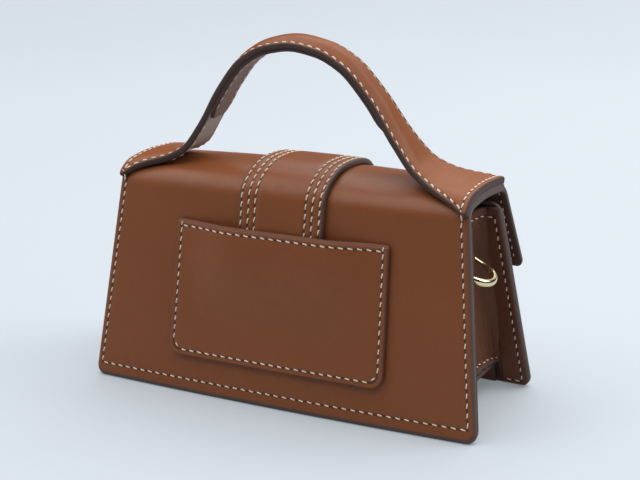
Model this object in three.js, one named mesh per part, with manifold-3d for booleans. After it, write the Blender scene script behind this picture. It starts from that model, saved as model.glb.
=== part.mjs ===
// Small structured handbag in leather with an arched top handle, in millimetres, +Z up.
// It stands on the lower edges of its front and back walls, flap towards -Y, slip pocket towards +Y.
// The origin is on the floor at the centre of its bounds. Left and right are as seen from the front.

import * as THREE from 'three';
import { mergeVertices } from 'three/addons/utils/BufferGeometryUtils.js';
import Module from 'manifold-3d';

// Outer form
const BOTTOM_WIDTH = 180;
const TOP_WIDTH = 160;
const TOP_HEIGHT = 89; // height at which the top width and top depths are taken
const BOTTOM_DEPTH = 34.9; // centre to the outer face of either wall, at the floor
const BACK_TOP_DEPTH = 20.6;
const FRONT_TOP_DEPTH = 16.6;
const WALL_BELLY = 1.9; // how far the walls bow out half way along their lower edge
const BELLY_HEIGHT = 84; // the bow dies out here
const CORNER_RADIUS = 5; // rounded lower corners of the walls
const EDGE_ROUND = 2; // rounding of the outer edges of the walls and the flap
const CENTRE_SHIFT = 1.35; // from the middle of the walls' lower edges to the origin

// Leather
const SHELL_LEATHER = 3.2;
const GUSSET_LEATHER = 2;
const POCKET_LEATHER = 2.2;
const STRAP_LEATHER = 3; // folded double
const GRIP_LEATHER = 1.5;
const GAP = 0.3; // between pieces that are sewn together
const HANDLE_GAP = 0.6; // under the feet of the handle, which turn over the shoulders

// Roof and flap, where the sheet turns from the back over to the front
const ROOF_CORNERS = [
  { name: 'back_shoulder', y: 20.1, z: 91.9, radius: 9 },
  { name: 'crown', y: 1, z: 93.8, radius: 108 },
  { name: 'front_shoulder', y: -23.2, z: 91.7, radius: 8 },
];
const FLAP_END = { y: -37, z: 53.6 };
const FLAP_CORNER_RADIUS = 3;
const ROOF_BOW = 3.2; // rise of the roof half way along it
const ROOF_BOW_CENTRE = -4;
const ROOF_BOW_REACH = 22;

// Front wall
const FRONT_TOP = 85;
const FRONT_ROWS = [20, 36, 52, 68];

// Gussets: folded in between the walls, the fold's bottom turned out into a lip, the flanges on to the floor
const GUSSET_TOP = 83;
const GUSSET_BOTTOM = 0.8; // of the flanges
const GUSSET_EDGE = 0.2; // set back from the ends of the walls
const LIP_REACH = 3.4;
const LIP_SHARES = [0, 0.06, 0.28, 0.6, 1]; // rows up the lip
const GUSSET_ROWS = [13, 24, 36, 48, 58]; // above the lip's edge
const GUSSET_FOLDS = [
  { z: 0, depth: 15, flange: 11.5 },
  { z: 14, depth: 15.2, flange: 11.3 },
  { z: 30, depth: 15.6, flange: 9 },
  { z: 62, depth: 16.2, flange: 7 },
  { z: 83, depth: 9.4, flange: 6 },
];

// Base: raised between the walls, its long edges turned down along them
const BASE_EDGE = 0.4;
const BASE_FLANGE = 8;
const BASE_HEIGHT = 12.4; // middle of the leather, half way between the walls
const BASE_FLANGE_REACH = 74.2; // half length along the walls
const LIP_STEP = 2.3; // gusset lip above the end of the base, middle to middle

// Slip pocket on the back
const POCKET_BOTTOM = 16.6;
const POCKET_TOP = 73.9;
const POCKET_HALF_TOP = 49;
const POCKET_HALF_BOTTOM = 50.5;
const POCKET_CORNER_RADIUS = 6;
const POCKET_MOUTH = 3.4; // how far the mouth stands open over the strap
const POCKET_MOUTH_START = 28;
const POCKET_MOUTH_FLAT = 2; // how far past the strap it stays full
const POCKET_MOUTH_CLOSED = 4; // how far from the sides it has closed
const POCKET_ROWS = [20, 28, 34, 40, 45];
const POCKET_COLUMNS = [0, 0.25, 0.49, 0.58, 0.7, 0.82, 0.94, 1]; // shares of the half width

// Strap down the middle, from inside the pocket to the front edge of the flap
const STRAP_HALF = 19.7;
const STRAP_START = 64;
const STRAP_END_GAP = 3; // from the edge of the flap
const STRAP_CORNER_RADIUS = 5;

// Handle: stations along its top, from left to right. Its shift is towards the flap.
const HANDLE_STATIONS = [
  { x: -79, lift: 0, half: 22, shift: 1.5, pad: 0, thick: 2.3 },
  { x: -73, lift: 0.4, half: 19.4, shift: 1.4, pad: 0, thick: 2.5 },
  { x: -64, lift: 1.4, half: 15.6, shift: 1.2, pad: 0.2, thick: 2.7 },
  { x: -55, lift: 4.8, half: 12.2, shift: 1, pad: 0.6, thick: 2.8 },
  { x: -46, lift: 14.6, half: 9.8, shift: 0.6, pad: 1.2, thick: 2.8 },
  { x: -36, lift: 29.5, half: 8.4, shift: 0.2, pad: 1.7, thick: 2.8 },
  { x: -24, lift: 42.5, half: 8, shift: 0, pad: 1.9, thick: 2.8 },
  { x: -12, lift: 48.3, half: 8, shift: 0, pad: 2, thick: 2.8 },
  { x: 0, lift: 50.1, half: 8, shift: 0, pad: 2, thick: 2.8 },
  { x: 12, lift: 48.3, half: 8, shift: 0, pad: 2, thick: 2.8 },
  { x: 24, lift: 42.3, half: 8, shift: 0, pad: 1.9, thick: 2.8 },
  { x: 36, lift: 29.1, half: 8, shift: 0, pad: 1.7, thick: 2.8 },
  { x: 46, lift: 14, half: 8.6, shift: 0, pad: 1.2, thick: 2.8 },
  { x: 55, lift: 3.9, half: 10.4, shift: 0, pad: 0.6, thick: 2.8 },
  { x: 64, lift: 0.9, half: 13.2, shift: 0.2, pad: 0.2, thick: 2.7 },
  { x: 73, lift: 0.3, half: 17.6, shift: 0.8, pad: 0, thick: 2.5 },
  { x: 79, lift: 0, half: 21.5, shift: 1.2, pad: 0, thick: 2.3 },
];
const HANDLE_HALF_LENGTH = 79;
const HANDLE_LINE = 1.9; // Y of its middle, on the roof
const HANDLE_LEAN = 0.05; // of its lift, to the right
const HANDLE_STEPS = 34;
const HANDLE_BANDS = 12;
const GRIP_HALF_LENGTH = 44;
const GRIP_STEPS = 24;
const GRIP_INSET = 0.5;

// Brass D-rings on the gussets, each with its bar in a leather tab
const RING_BAR = { x: 71, y: 2.4, z: 63.8 };
const RING_HALF_WIDTH = 8.6;
const RING_DEPTH = 14.1;
const RING_BAR_CORNER = 2.6;
const RING_BOW_CORNER = 8.5;
const RING_WIRE = 1.5; // radius
const RING_REST_ANGLE = THREE.MathUtils.degToRad(28); // below level
const WIRE_SIDES = 10;
const TAB_BORE = 1.8;
const TAB_EYE = 3.2;
const TAB_LEATHER = 1.4;
const TAB_HALF_WIDTH = 5;
const TAB_ABOVE = 5; // how far its foot reaches above and below the bar
const TAB_BELOW = 12;
const EYE_INSET = 0.2; // each end of the eye, from the sides of the tab

// Magnetic snap between the flap and the front wall
const SNAP_RADIUS = 7;
const SNAP_HEIGHT = 61;
const SNAP_THICKNESS = 6;

// Grids
const LINE_STEP = 15;
const ARC_STEP = THREE.MathUtils.degToRad(15);
const SHELL_COLUMNS = 8;
const STRAP_COLUMNS = 6;
const FOLD_SHARES = [0, 0.13, 0.24, 0.33, 0.42, 0.5]; // of a half turn, up to its middle
const BASE_STEPS = 12;
const TAB_COLUMNS = 4;
const TAB_ROWS = 6;
const ROUND_SIDES = 20;
const EDGE_SHARES = [0, 0.13, 0.5]; // columns over a rounded edge
const CORNER_SHARES = [0.12, 0.45]; // rows round a rounded corner

const TAN = 0x7d4a30;
const DARK_TAN = 0x5a382a;
const BRASS = 0xd9b65c;

const wasm = await Module();
wasm.setup();

// Interpolation and outlines

function smoothLookup(table, key, column, at) {
  // Cubic through the rows of a table, without overshoot between them.
  const last = table.length - 1;
  const x = table.map((row) => row[key]);
  const y = table.map((row) => row[column]);
  const slope = x.slice(1).map((value, i) => (y[i + 1] - y[i]) / (value - x[i]));
  const tangent = y.map((_, i) => {
    if (i === 0 || i === last || slope[i - 1] * slope[i] <= 0) return 0;
    return (2 * slope[i - 1] * slope[i]) / (slope[i - 1] + slope[i]);
  });
  const clamped = THREE.MathUtils.clamp(at, x[0], x[last]);
  const i = Math.min(last - 1, x.findLastIndex((value) => value <= clamped));
  const span = x[i + 1] - x[i];
  const t = (clamped - x[i]) / span;
  const rise = y[i + 1] - y[i];
  const bend = tangent[i] + tangent[i + 1] - (2 * rise) / span;
  const lean = (3 * rise) / span - 2 * tangent[i] - tangent[i + 1];
  return y[i] + span * t * (tangent[i] + t * (lean + t * bend));
}

function cornerInset(distance, radius) {
  // How far a rounded corner draws an edge in, at a distance from the end of that edge.
  const d = Math.min(Math.max(distance, 0), radius);
  return radius - Math.sqrt(radius * radius - (radius - d) ** 2);
}

function filletedRows(corners, closed = false) {
  // Points and right-hand normals along a polyline whose corners are rounded by arcs.
  const points = corners.map((corner) => new THREE.Vector2(corner.y, corner.z));
  const count = points.length;
  const rows = [];
  const push = (point, direction) => {
    const row = { point: point.clone(), normal: new THREE.Vector2(direction.y, -direction.x) };
    const previous = rows.at(-1);
    if (!previous || previous.point.distanceTo(point) > 1e-6) rows.push(row);
  };
  let from = null;
  const first = closed ? 0 : 1;
  const end = closed ? count : count - 1;
  const lineTo = (target, direction) => {
    const steps = Math.max(1, Math.ceil(from.distanceTo(target) / LINE_STEP));
    for (let k = 0; k <= steps; k += 1) push(from.clone().lerp(target, k / steps), direction);
  };
  if (!closed) from = points[0].clone();
  for (let i = first; i < end; i += 1) {
    const corner = points[i];
    const into = corner.clone().sub(points[(i + count - 1) % count]).normalize();
    const out = points[(i + 1) % count].clone().sub(corner).normalize();
    const turn = Math.atan2(into.cross(out), into.dot(out));
    const radius = corners[i].radius;
    const tangent = radius * Math.tan(Math.abs(turn) / 2);
    const start = corner.clone().addScaledVector(into, -tangent);
    if (from) lineTo(start, into);
    const side = Math.sign(turn);
    const centre = start.clone().add(new THREE.Vector2(-into.y, into.x).multiplyScalar(radius * side));
    const steps = Math.max(2, Math.ceil(Math.abs(turn) / ARC_STEP));
    for (let k = 0; k <= steps; k += 1) {
      const direction = into.clone().rotateAround(new THREE.Vector2(), (turn * k) / steps);
      const arm = new THREE.Vector2(direction.y, -direction.x).multiplyScalar(radius * side);
      push(centre.clone().add(arm), direction);
    }
    from = rows.at(-1).point.clone();
  }
  if (!closed) {
    const direction = points[count - 1].clone().sub(points[count - 2]).normalize();
    lineTo(points[count - 1], direction);
  }
  return rows;
}

// The walls as surfaces

function halfWidth(z) {
  return (BOTTOM_WIDTH + ((TOP_WIDTH - BOTTOM_WIDTH) * z) / TOP_HEIGHT) / 2;
}

function bellyAt(x, z) {
  const across = 1 - (x / halfWidth(z)) ** 2;
  return WALL_BELLY * Math.max(0, across) * Math.max(0, 1 - z / BELLY_HEIGHT);
}

const BACK_LEAN = Math.atan((BOTTOM_DEPTH - BACK_TOP_DEPTH) / TOP_HEIGHT);
const FRONT_LEAN = Math.atan((BOTTOM_DEPTH - FRONT_TOP_DEPTH) / TOP_HEIGHT);

function backFace(x, z, inside = 0) {
  // Y of the back wall's outer face, or of a plane that far inside it.
  return BOTTOM_DEPTH - z * Math.tan(BACK_LEAN) + bellyAt(x, z) - inside / Math.cos(BACK_LEAN);
}

function frontFace(x, z, inside = 0) {
  return -(BOTTOM_DEPTH - z * Math.tan(FRONT_LEAN) + bellyAt(x, z) - inside / Math.cos(FRONT_LEAN));
}

// Solids from grids of points

function solidGeometry(points, triangles) {
  // A geometry from shared points, turned so that its faces point outwards.
  let volume = 0;
  for (const [a, b, c] of triangles) volume += points[a].dot(points[b].clone().cross(points[c]));
  const facing = volume > 0 ? triangles : triangles.map(([a, b, c]) => [a, c, b]);
  const geometry = new THREE.BufferGeometry();
  const positions = points.flatMap((point) => [point.x, point.y, point.z]);
  geometry.setAttribute('position', new THREE.Float32BufferAttribute(positions, 3));
  geometry.setIndex(facing.flat());
  geometry.computeVertexNormals();
  return geometry;
}

function quad(a, b, c, d) {
  return [[a, b, c], [a, c, d]];
}

function sheetSolid(outer, inner) {
  // Two matching grids of points, joined round their rims.
  const rows = outer.length;
  const columns = outer[0].length;
  const points = [...outer.flat(), ...inner.flat()];
  const at = (i, j) => i * columns + j;
  const under = (i, j) => rows * columns + at(i, j);
  const triangles = [];
  for (let i = 0; i < rows - 1; i += 1) {
    for (let j = 0; j < columns - 1; j += 1) {
      triangles.push(...quad(at(i, j), at(i + 1, j), at(i + 1, j + 1), at(i, j + 1)));
      triangles.push(...quad(under(i, j), under(i, j + 1), under(i + 1, j + 1), under(i + 1, j)));
    }
  }
  const rim = [];
  for (let j = 0; j < columns - 1; j += 1) rim.push([0, j]);
  for (let i = 0; i < rows - 1; i += 1) rim.push([i, columns - 1]);
  for (let j = columns - 1; j > 0; j -= 1) rim.push([rows - 1, j]);
  for (let i = rows - 1; i > 0; i -= 1) rim.push([i, 0]);
  rim.forEach((here, k) => {
    const next = rim[(k + 1) % rim.length];
    triangles.push(...quad(at(...here), at(...next), under(...next), under(...here)));
  });
  return solidGeometry(points, triangles);
}

function loopSolid(rings) {
  // Rings of points that follow one another round a closed loop.
  const count = rings.length;
  const sides = rings[0].length;
  const at = (i, j) => (i % count) * sides + (j % sides);
  const triangles = [];
  for (let i = 0; i < count; i += 1) {
    for (let j = 0; j < sides; j += 1) {
      triangles.push(...quad(at(i, j), at(i + 1, j), at(i + 1, j + 1), at(i, j + 1)));
    }
  }
  return solidGeometry(rings.flat(), triangles);
}

function gridNormals(grid) {
  const rows = grid.length;
  const columns = grid[0].length;
  return grid.map((row, i) => row.map((_, j) => {
    const along = grid[Math.min(i + 1, rows - 1)][j].clone().sub(grid[Math.max(i - 1, 0)][j]);
    const across = grid[i][Math.min(j + 1, columns - 1)].clone().sub(grid[i][Math.max(j - 1, 0)]);
    return across.cross(along).normalize();
  }));
}

function shifted(grid, normals, distanceAt) {
  return grid.map((row, i) => row.map((point, j) => {
    return point.clone().addScaledVector(normals[i][j], distanceAt(i, j));
  }));
}

function linspace(from, to, steps) {
  return Array.from({ length: steps + 1 }, (_, k) => from + ((to - from) * k) / steps);
}

function manifoldOf(geometry) {
  const bare = geometry.clone();
  bare.deleteAttribute('normal');
  bare.deleteAttribute('uv');
  const merged = mergeVertices(bare, 1e-4);
  const vertProperties = new Float32Array(merged.attributes.position.array);
  const triVerts = new Uint32Array(merged.index.array);
  return new wasm.Manifold(new wasm.Mesh({ numProp: 3, vertProperties, triVerts }));
}

function geometryOf(solid) {
  const mesh = solid.getMesh();
  const geometry = new THREE.BufferGeometry();
  geometry.setAttribute('position', new THREE.BufferAttribute(new Float32Array(mesh.vertProperties), 3));
  geometry.setIndex(new THREE.BufferAttribute(new Uint32Array(mesh.triVerts), 1));
  geometry.computeVertexNormals();
  return geometry;
}

const bag = new THREE.Group();

function addPiece(name, geometry, colour, roughness = 0.5, metalness = 0) {
  const material = new THREE.MeshStandardMaterial({ color: colour, roughness, metalness });
  const mesh = new THREE.Mesh(geometry.translate(0, CENTRE_SHIFT, 0), material);
  mesh.name = name;
  bag.add(mesh);
}

// Body shell: back wall, roof and flap in one sheet

const SHELL_ROWS = filletedRows([{ y: BOTTOM_DEPTH, z: 0 }, ...ROOF_CORNERS, FLAP_END]);

function rowLengths(rows) {
  let length = 0;
  return rows.map((row, i) => {
    if (i > 0) length += row.point.distanceTo(rows[i - 1].point);
    return length;
  });
}

function roofBow(x, y) {
  // The roof rises half way along it, more towards the flap.
  const along = Math.max(0, 1 - (x / halfWidth(TOP_HEIGHT)) ** 2);
  const across = Math.max(0, 1 - ((y - ROOF_BOW_CENTRE) / ROOF_BOW_REACH) ** 2);
  return ROOF_BOW * along * across;
}

function onShell(row, x, distance) {
  // A point at a distance outside the shell's outer face, with the belly of the back and the bow of the roof.
  const y = row.point.x + row.normal.x * distance;
  const z = row.point.y + row.normal.y * distance;
  const belly = row.point.x > 0 ? bellyAt(x, row.point.y) : 0;
  return new THREE.Vector3(x, y + belly, z + roofBow(x, row.point.x));
}

function edgeColumns(half) {
  // Places across a wall, close together where its outer edges are rounded.
  const edge = EDGE_SHARES.map((share) => share * EDGE_ROUND);
  const left = edge.map((step) => ({ x: step - half, drop: cornerInset(step, EDGE_ROUND) }));
  const right = left.map(({ x, drop }) => ({ x: -x, drop })).reverse();
  const flat = linspace(EDGE_ROUND - half, half - EDGE_ROUND, SHELL_COLUMNS).map((x) => ({ x, drop: 0 }));
  return [...left, ...flat, ...right];
}

function cornerSteps(radius) {
  // Distances from an edge at which rows follow a rounded corner.
  return CORNER_SHARES.map((share) => share * radius);
}

function withCornerRows(rows, radius, atEnd) {
  // Adds rows close to the first or last edge, so that its rounded corners have points.
  const edge = atEnd ? rows.length - 1 : 0;
  const next = atEnd ? rows.length - 2 : 1;
  const run = rows[next].point.distanceTo(rows[edge].point);
  const extra = [...cornerSteps(radius), radius].filter((step) => step < run - 1).map((step) => ({
    point: rows[edge].point.clone().lerp(rows[next].point, step / run),
    normal: rows[edge].normal.clone(),
  }));
  if (atEnd) return [...rows.slice(0, edge), ...extra.reverse(), rows[edge]];
  return [rows[0], ...extra, ...rows.slice(1)];
}

function bodyShell() {
  const rows = withCornerRows(withCornerRows(SHELL_ROWS, CORNER_RADIUS, false), CORNER_RADIUS, true);
  const lengths = rowLengths(rows);
  const total = lengths.at(-1);
  const face = (distance, rounded) => rows.map((row, i) => {
    const fromEnd = Math.min(lengths[i], total - lengths[i]);
    const inset = cornerInset(lengths[i], CORNER_RADIUS)
      + cornerInset(total - lengths[i], FLAP_CORNER_RADIUS);
    return edgeColumns(halfWidth(row.point.y) - inset).map(({ x, drop }) => {
      const rounding = rounded ? Math.max(drop, cornerInset(fromEnd, EDGE_ROUND)) : 0;
      return onShell(row, x, distance - rounding);
    });
  });
  const outer = face(0, true);
  const inner = face(-SHELL_LEATHER, false);
  outer[0].forEach((point) => {
    point.y = backFace(point.x, 0, EDGE_ROUND);
    point.z = 0;
  });
  inner[0].forEach((point) => {
    point.y = backFace(point.x, 0, SHELL_LEATHER);
    point.z = 0;
  });
  return sheetSolid(outer, inner);
}

// Front wall

function frontPanel() {
  const steps = [0, ...cornerSteps(CORNER_RADIUS), CORNER_RADIUS];
  const heights = [...steps, ...FRONT_ROWS, ...steps.map((step) => FRONT_TOP - step).reverse()];
  const face = (inside) => heights.map((z) => {
    const fromEnd = Math.min(z, FRONT_TOP - z);
    return edgeColumns(halfWidth(z) - cornerInset(fromEnd, CORNER_RADIUS)).map(({ x, drop }) => {
      const rounding = inside === 0 ? Math.max(drop, cornerInset(fromEnd, EDGE_ROUND)) : inside;
      return new THREE.Vector3(x, frontFace(x, z, rounding), z);
    });
  });
  return sheetSolid(face(0), face(SHELL_LEATHER));
}

// Gussets and base

const FOLD_MIDDLE = SHELL_LEATHER + GAP + GUSSET_LEATHER / 2; // inside the walls' outer faces

function baseMiddle(theta) {
  return BASE_FLANGE + (BASE_HEIGHT - BASE_FLANGE) * Math.sin(theta);
}

function betweenWalls(x, z, theta) {
  // Y on a half turn from the back wall's flange, theta 0, to the front wall's, theta pi.
  const back = backFace(x, z, FOLD_MIDDLE);
  const front = frontFace(x, z, FOLD_MIDDLE);
  return (back + front) / 2 + ((back - front) / 2) * Math.cos(theta);
}

function foldColumns() {
  // Across a gusset or the base: flange edge, half turn, flange edge.
  const half = FOLD_SHARES.map((share) => share * Math.PI);
  const mirrored = half.slice(0, -1).map((theta) => Math.PI - theta).reverse();
  const turn = [...half, ...mirrored].map((theta) => ({ theta, edge: false }));
  return [{ theta: 0, edge: true }, ...turn, { theta: Math.PI, edge: true }];
}

function gussetPoint(side, column, z, aboveLip) {
  const bow = Math.sin(column.theta);
  const fold = smoothLookup(GUSSET_FOLDS, 'z', 'depth', z);
  const flange = smoothLookup(GUSSET_FOLDS, 'z', 'flange', z);
  const folded = flange + (fold - flange - cornerInset(aboveLip, LIP_REACH)) * bow;
  const depth = column.edge ? cornerInset(z, CORNER_RADIUS) : folded;
  const x = halfWidth(z) - GUSSET_EDGE - depth;
  return new THREE.Vector3(side * x, betweenWalls(x, z, column.theta), z);
}

function gussetGrid(side) {
  const lifts = LIP_SHARES.map((share) => share * LIP_REACH);
  const heights = [...lifts, ...GUSSET_ROWS, GUSSET_TOP - BASE_HEIGHT - LIP_STEP];
  const reach = heights.at(-1);
  return heights.map((height) => foldColumns().map((column) => {
    const onWall = column.theta === 0 || column.theta === Math.PI;
    const bottom = onWall ? GUSSET_BOTTOM : baseMiddle(column.theta) + LIP_STEP;
    const above = (height * (GUSSET_TOP - bottom)) / reach;
    return gussetPoint(side, column, bottom + above, above);
  }));
}

function gusset(side, clearance = 0) {
  const middle = gussetGrid(side);
  const normals = gridNormals(middle);
  const half = GUSSET_LEATHER / 2 + clearance;
  return sheetSolid(shifted(middle, normals, () => half), shifted(middle, normals, () => -half));
}

function basePanel() {
  const fold = smoothLookup(GUSSET_FOLDS, 'z', 'depth', BASE_HEIGHT);
  const lip = halfWidth(BASE_HEIGHT) - GUSSET_EDGE - fold + LIP_REACH;
  const grid = linspace(-1, 1, BASE_STEPS).map((u) => foldColumns().map((column) => {
    const reach = BASE_FLANGE_REACH + (lip - BASE_FLANGE_REACH) * Math.sin(column.theta);
    const z = column.edge ? BASE_EDGE : baseMiddle(column.theta);
    const x = u * reach;
    return new THREE.Vector3(x, betweenWalls(x, column.edge ? z : BASE_FLANGE, column.theta), z);
  }));
  const half = GUSSET_LEATHER / 2;
  const normals = gridNormals(grid);
  return sheetSolid(shifted(grid, normals, () => half), shifted(grid, normals, () => -half));
}

// Slip pocket

function pocketMouth(x, z) {
  // The mouth stands open over the strap and closes towards the sewn sides and bottom.
  const up = THREE.MathUtils.smoothstep(z, POCKET_MOUTH_START, STRAP_START - GAP);
  const full = STRAP_HALF + POCKET_MOUTH_FLAT;
  const closed = POCKET_HALF_TOP - POCKET_MOUTH_CLOSED;
  const across = 1 - THREE.MathUtils.smoothstep(Math.abs(x), full, closed);
  return POCKET_MOUTH * up * across;
}

function backPocket() {
  const r = POCKET_CORNER_RADIUS;
  const heights = [0, ...cornerSteps(r), r, ...POCKET_ROWS, POCKET_TOP - POCKET_BOTTOM];
  const share = [...POCKET_COLUMNS.slice(1).map((u) => -u).reverse(), ...POCKET_COLUMNS];
  const face = (lift) => heights.map((height) => {
    const z = POCKET_BOTTOM + height;
    const taper = (POCKET_HALF_TOP - POCKET_HALF_BOTTOM) / (POCKET_TOP - POCKET_BOTTOM);
    const half = POCKET_HALF_BOTTOM + taper * height - cornerInset(height, r);
    return share.map((u) => {
      const x = u * half;
      return new THREE.Vector3(x, backFace(x, z, -lift - GAP - pocketMouth(x, z)), z);
    });
  });
  return sheetSolid(face(POCKET_LEATHER), face(0));
}

// Strap over the roof

function centreStrap() {
  const start = { y: BOTTOM_DEPTH - STRAP_START * Math.tan(BACK_LEAN), z: STRAP_START };
  const shoulder = ROOF_CORNERS.at(-1);
  const down = new THREE.Vector2(FLAP_END.y - shoulder.y, FLAP_END.z - shoulder.z).normalize();
  const end = { y: FLAP_END.y - down.x * STRAP_END_GAP, z: FLAP_END.z - down.y * STRAP_END_GAP };
  const rows = withCornerRows(filletedRows([start, ...ROOF_CORNERS, end]), STRAP_CORNER_RADIUS, true);
  const lengths = rowLengths(rows);
  const face = (distance) => rows.map((row, i) => {
    const half = STRAP_HALF - cornerInset(lengths.at(-1) - lengths[i], STRAP_CORNER_RADIUS);
    return linspace(-1, 1, STRAP_COLUMNS).map((u) => onShell(row, u * half, distance));
  });
  return sheetSolid(face(GAP + STRAP_LEATHER), face(GAP));
}

// Handle and its under layer

const ROOF_LENGTHS = rowLengths(SHELL_ROWS);
const HANDLE_LENGTH = lengthAt(HANDLE_LINE);

function lengthAt(y) {
  // Length along the shell's profile to where it passes a depth.
  const i = SHELL_ROWS.findIndex((row) => row.point.x <= y);
  const before = SHELL_ROWS[i - 1].point.x;
  const share = (before - y) / (before - SHELL_ROWS[i].point.x);
  return THREE.MathUtils.lerp(ROOF_LENGTHS[i - 1], ROOF_LENGTHS[i], share);
}

function shellAt(length) {
  // The shell's outer face at a length along its profile.
  const i = Math.max(1, ROOF_LENGTHS.findIndex((value) => value >= length));
  const t = (length - ROOF_LENGTHS[i - 1]) / (ROOF_LENGTHS[i] - ROOF_LENGTHS[i - 1]);
  const point = SHELL_ROWS[i - 1].point.clone().lerp(SHELL_ROWS[i].point, t);
  const normal = SHELL_ROWS[i - 1].normal.clone().lerp(SHELL_ROWS[i].normal, t).normalize();
  return { point, normal };
}

function handleStation(x, column) {
  return smoothLookup(HANDLE_STATIONS, 'x', column, x);
}

function handleTop(stations, inset) {
  // The top of the handle without its padding: the roof's own curve, lifted along the arch.
  return stations.map((x) => linspace(-1, 1, HANDLE_BANDS).map((t) => {
    const across = handleStation(x, 'shift') + t * (handleStation(x, 'half') - inset);
    const row = shellAt(HANDLE_LENGTH + across);
    const point = onShell(row, x, HANDLE_GAP + handleStation(x, 'thick'));
    point.x *= halfWidth(row.point.y) / halfWidth(ROOF_CORNERS[1].z);
    point.x += handleStation(x, 'lift') * HANDLE_LEAN;
    point.z += handleStation(x, 'lift');
    return point;
  }));
}

function handle() {
  const stations = linspace(-HANDLE_HALF_LENGTH, HANDLE_HALF_LENGTH, HANDLE_STEPS);
  const top = handleTop(stations, 0);
  const normals = gridNormals(top);
  const across = linspace(-1, 1, HANDLE_BANDS);
  const padded = shifted(top, normals, (i, j) => handleStation(stations[i], 'pad') * (1 - across[j] ** 2));
  return sheetSolid(padded, shifted(top, normals, (i) => -handleStation(stations[i], 'thick')));
}

function handleGrip() {
  const stations = linspace(-GRIP_HALF_LENGTH, GRIP_HALF_LENGTH, GRIP_STEPS);
  const top = handleTop(stations, GRIP_INSET);
  const normals = gridNormals(top);
  const above = (i) => handleStation(stations[i], 'thick') + GAP;
  const below = (i) => above(i) + GRIP_LEATHER;
  return sheetSolid(shifted(top, normals, (i) => -above(i)), shifted(top, normals, (i) => -below(i)));
}

// Rings and their tabs

function dRing(side) {
  const outline = filletedRows([
    { y: 0, z: -RING_HALF_WIDTH, radius: RING_BAR_CORNER },
    { y: RING_DEPTH, z: -RING_HALF_WIDTH, radius: RING_BOW_CORNER },
    { y: RING_DEPTH, z: RING_HALF_WIDTH, radius: RING_BOW_CORNER },
    { y: 0, z: RING_HALF_WIDTH, radius: RING_BAR_CORNER },
  ], true);
  const reach = new THREE.Vector3(side * Math.cos(RING_REST_ANGLE), 0, -Math.sin(RING_REST_ANGLE));
  const along = new THREE.Vector3(0, 1, 0);
  const flat = reach.clone().cross(along);
  const bar = new THREE.Vector3(side * RING_BAR.x, RING_BAR.y, RING_BAR.z);
  const rings = outline.map((row) => linspace(0, 2 * Math.PI, WIRE_SIDES).slice(0, -1).map((turn) => {
    const out = RING_WIRE * Math.cos(turn);
    return bar.clone()
      .addScaledVector(reach, row.point.x + row.normal.x * out)
      .addScaledVector(along, row.point.y + row.normal.y * out)
      .addScaledVector(flat, RING_WIRE * Math.sin(turn));
  }));
  return loopSolid(rings);
}

function tabFoot(side) {
  // A patch of leather that follows the valley of the gusset round the bar of its ring.
  const middleY = betweenWalls(RING_BAR.x, RING_BAR.z, Math.PI / 2);
  const reach = backFace(RING_BAR.x, RING_BAR.z, FOLD_MIDDLE) - middleY;
  const theta = (y) => Math.acos((RING_BAR.y + y - middleY) / reach);
  const across = linspace(TAB_HALF_WIDTH, -TAB_HALF_WIDTH, TAB_COLUMNS);
  const columns = across.map((y) => ({ theta: theta(y), edge: false }));
  const heights = linspace(RING_BAR.z - TAB_BELOW, RING_BAR.z + TAB_ABOVE, TAB_ROWS);
  const middle = heights.map((z) => columns.map((column) => gussetPoint(side, column, z, LIP_REACH)));
  const normals = gridNormals(middle);
  const outside = side * Math.sign(normals[0][0].x) * (GUSSET_LEATHER / 2 + GAP + TAB_LEATHER);
  return sheetSolid(shifted(middle, normals, () => outside), middle);
}

function ringTab(side) {
  const width = 2 * TAB_HALF_WIDTH;
  const rod = (radius, length) => {
    const geometry = new THREE.CylinderGeometry(radius, radius, length, ROUND_SIDES);
    return manifoldOf(geometry.translate(side * RING_BAR.x, RING_BAR.y, RING_BAR.z));
  };
  const eye = rod(TAB_EYE, width - 2 * EYE_INSET);
  const bore = rod(TAB_BORE, 2 * width);
  const keepOut = manifoldOf(gusset(side, GAP));
  return geometryOf(manifoldOf(tabFoot(side)).add(eye).subtract(keepOut).subtract(bore));
}

// Snap, hidden under the flap

function magneticSnap() {
  const geometry = new THREE.CylinderGeometry(SNAP_RADIUS, SNAP_RADIUS, SNAP_THICKNESS, ROUND_SIDES);
  geometry.rotateX(-FRONT_LEAN);
  const away = GAP + SNAP_THICKNESS / 2;
  return geometry.translate(0, frontFace(0, SNAP_HEIGHT, -away), SNAP_HEIGHT);
}

addPiece('body_shell', bodyShell(), TAN);
addPiece('front_panel', frontPanel(), TAN);
addPiece('base_panel', basePanel(), DARK_TAN);
addPiece('back_pocket', backPocket(), TAN);
addPiece('centre_strap', centreStrap(), TAN);
addPiece('handle', handle(), TAN);
addPiece('handle_grip', handleGrip(), DARK_TAN);
addPiece('magnetic_snap', magneticSnap(), BRASS, 0.3, 1);
for (const [name, side] of [['left', -1], ['right', 1]]) {
  addPiece(`gusset_${name}`, gusset(side), DARK_TAN);
  addPiece(`ring_tab_${name}`, ringTab(side), DARK_TAN);
  addPiece(`d_ring_${name}`, dRing(side), BRASS, 0.2, 1);
}

export default bag;
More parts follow.
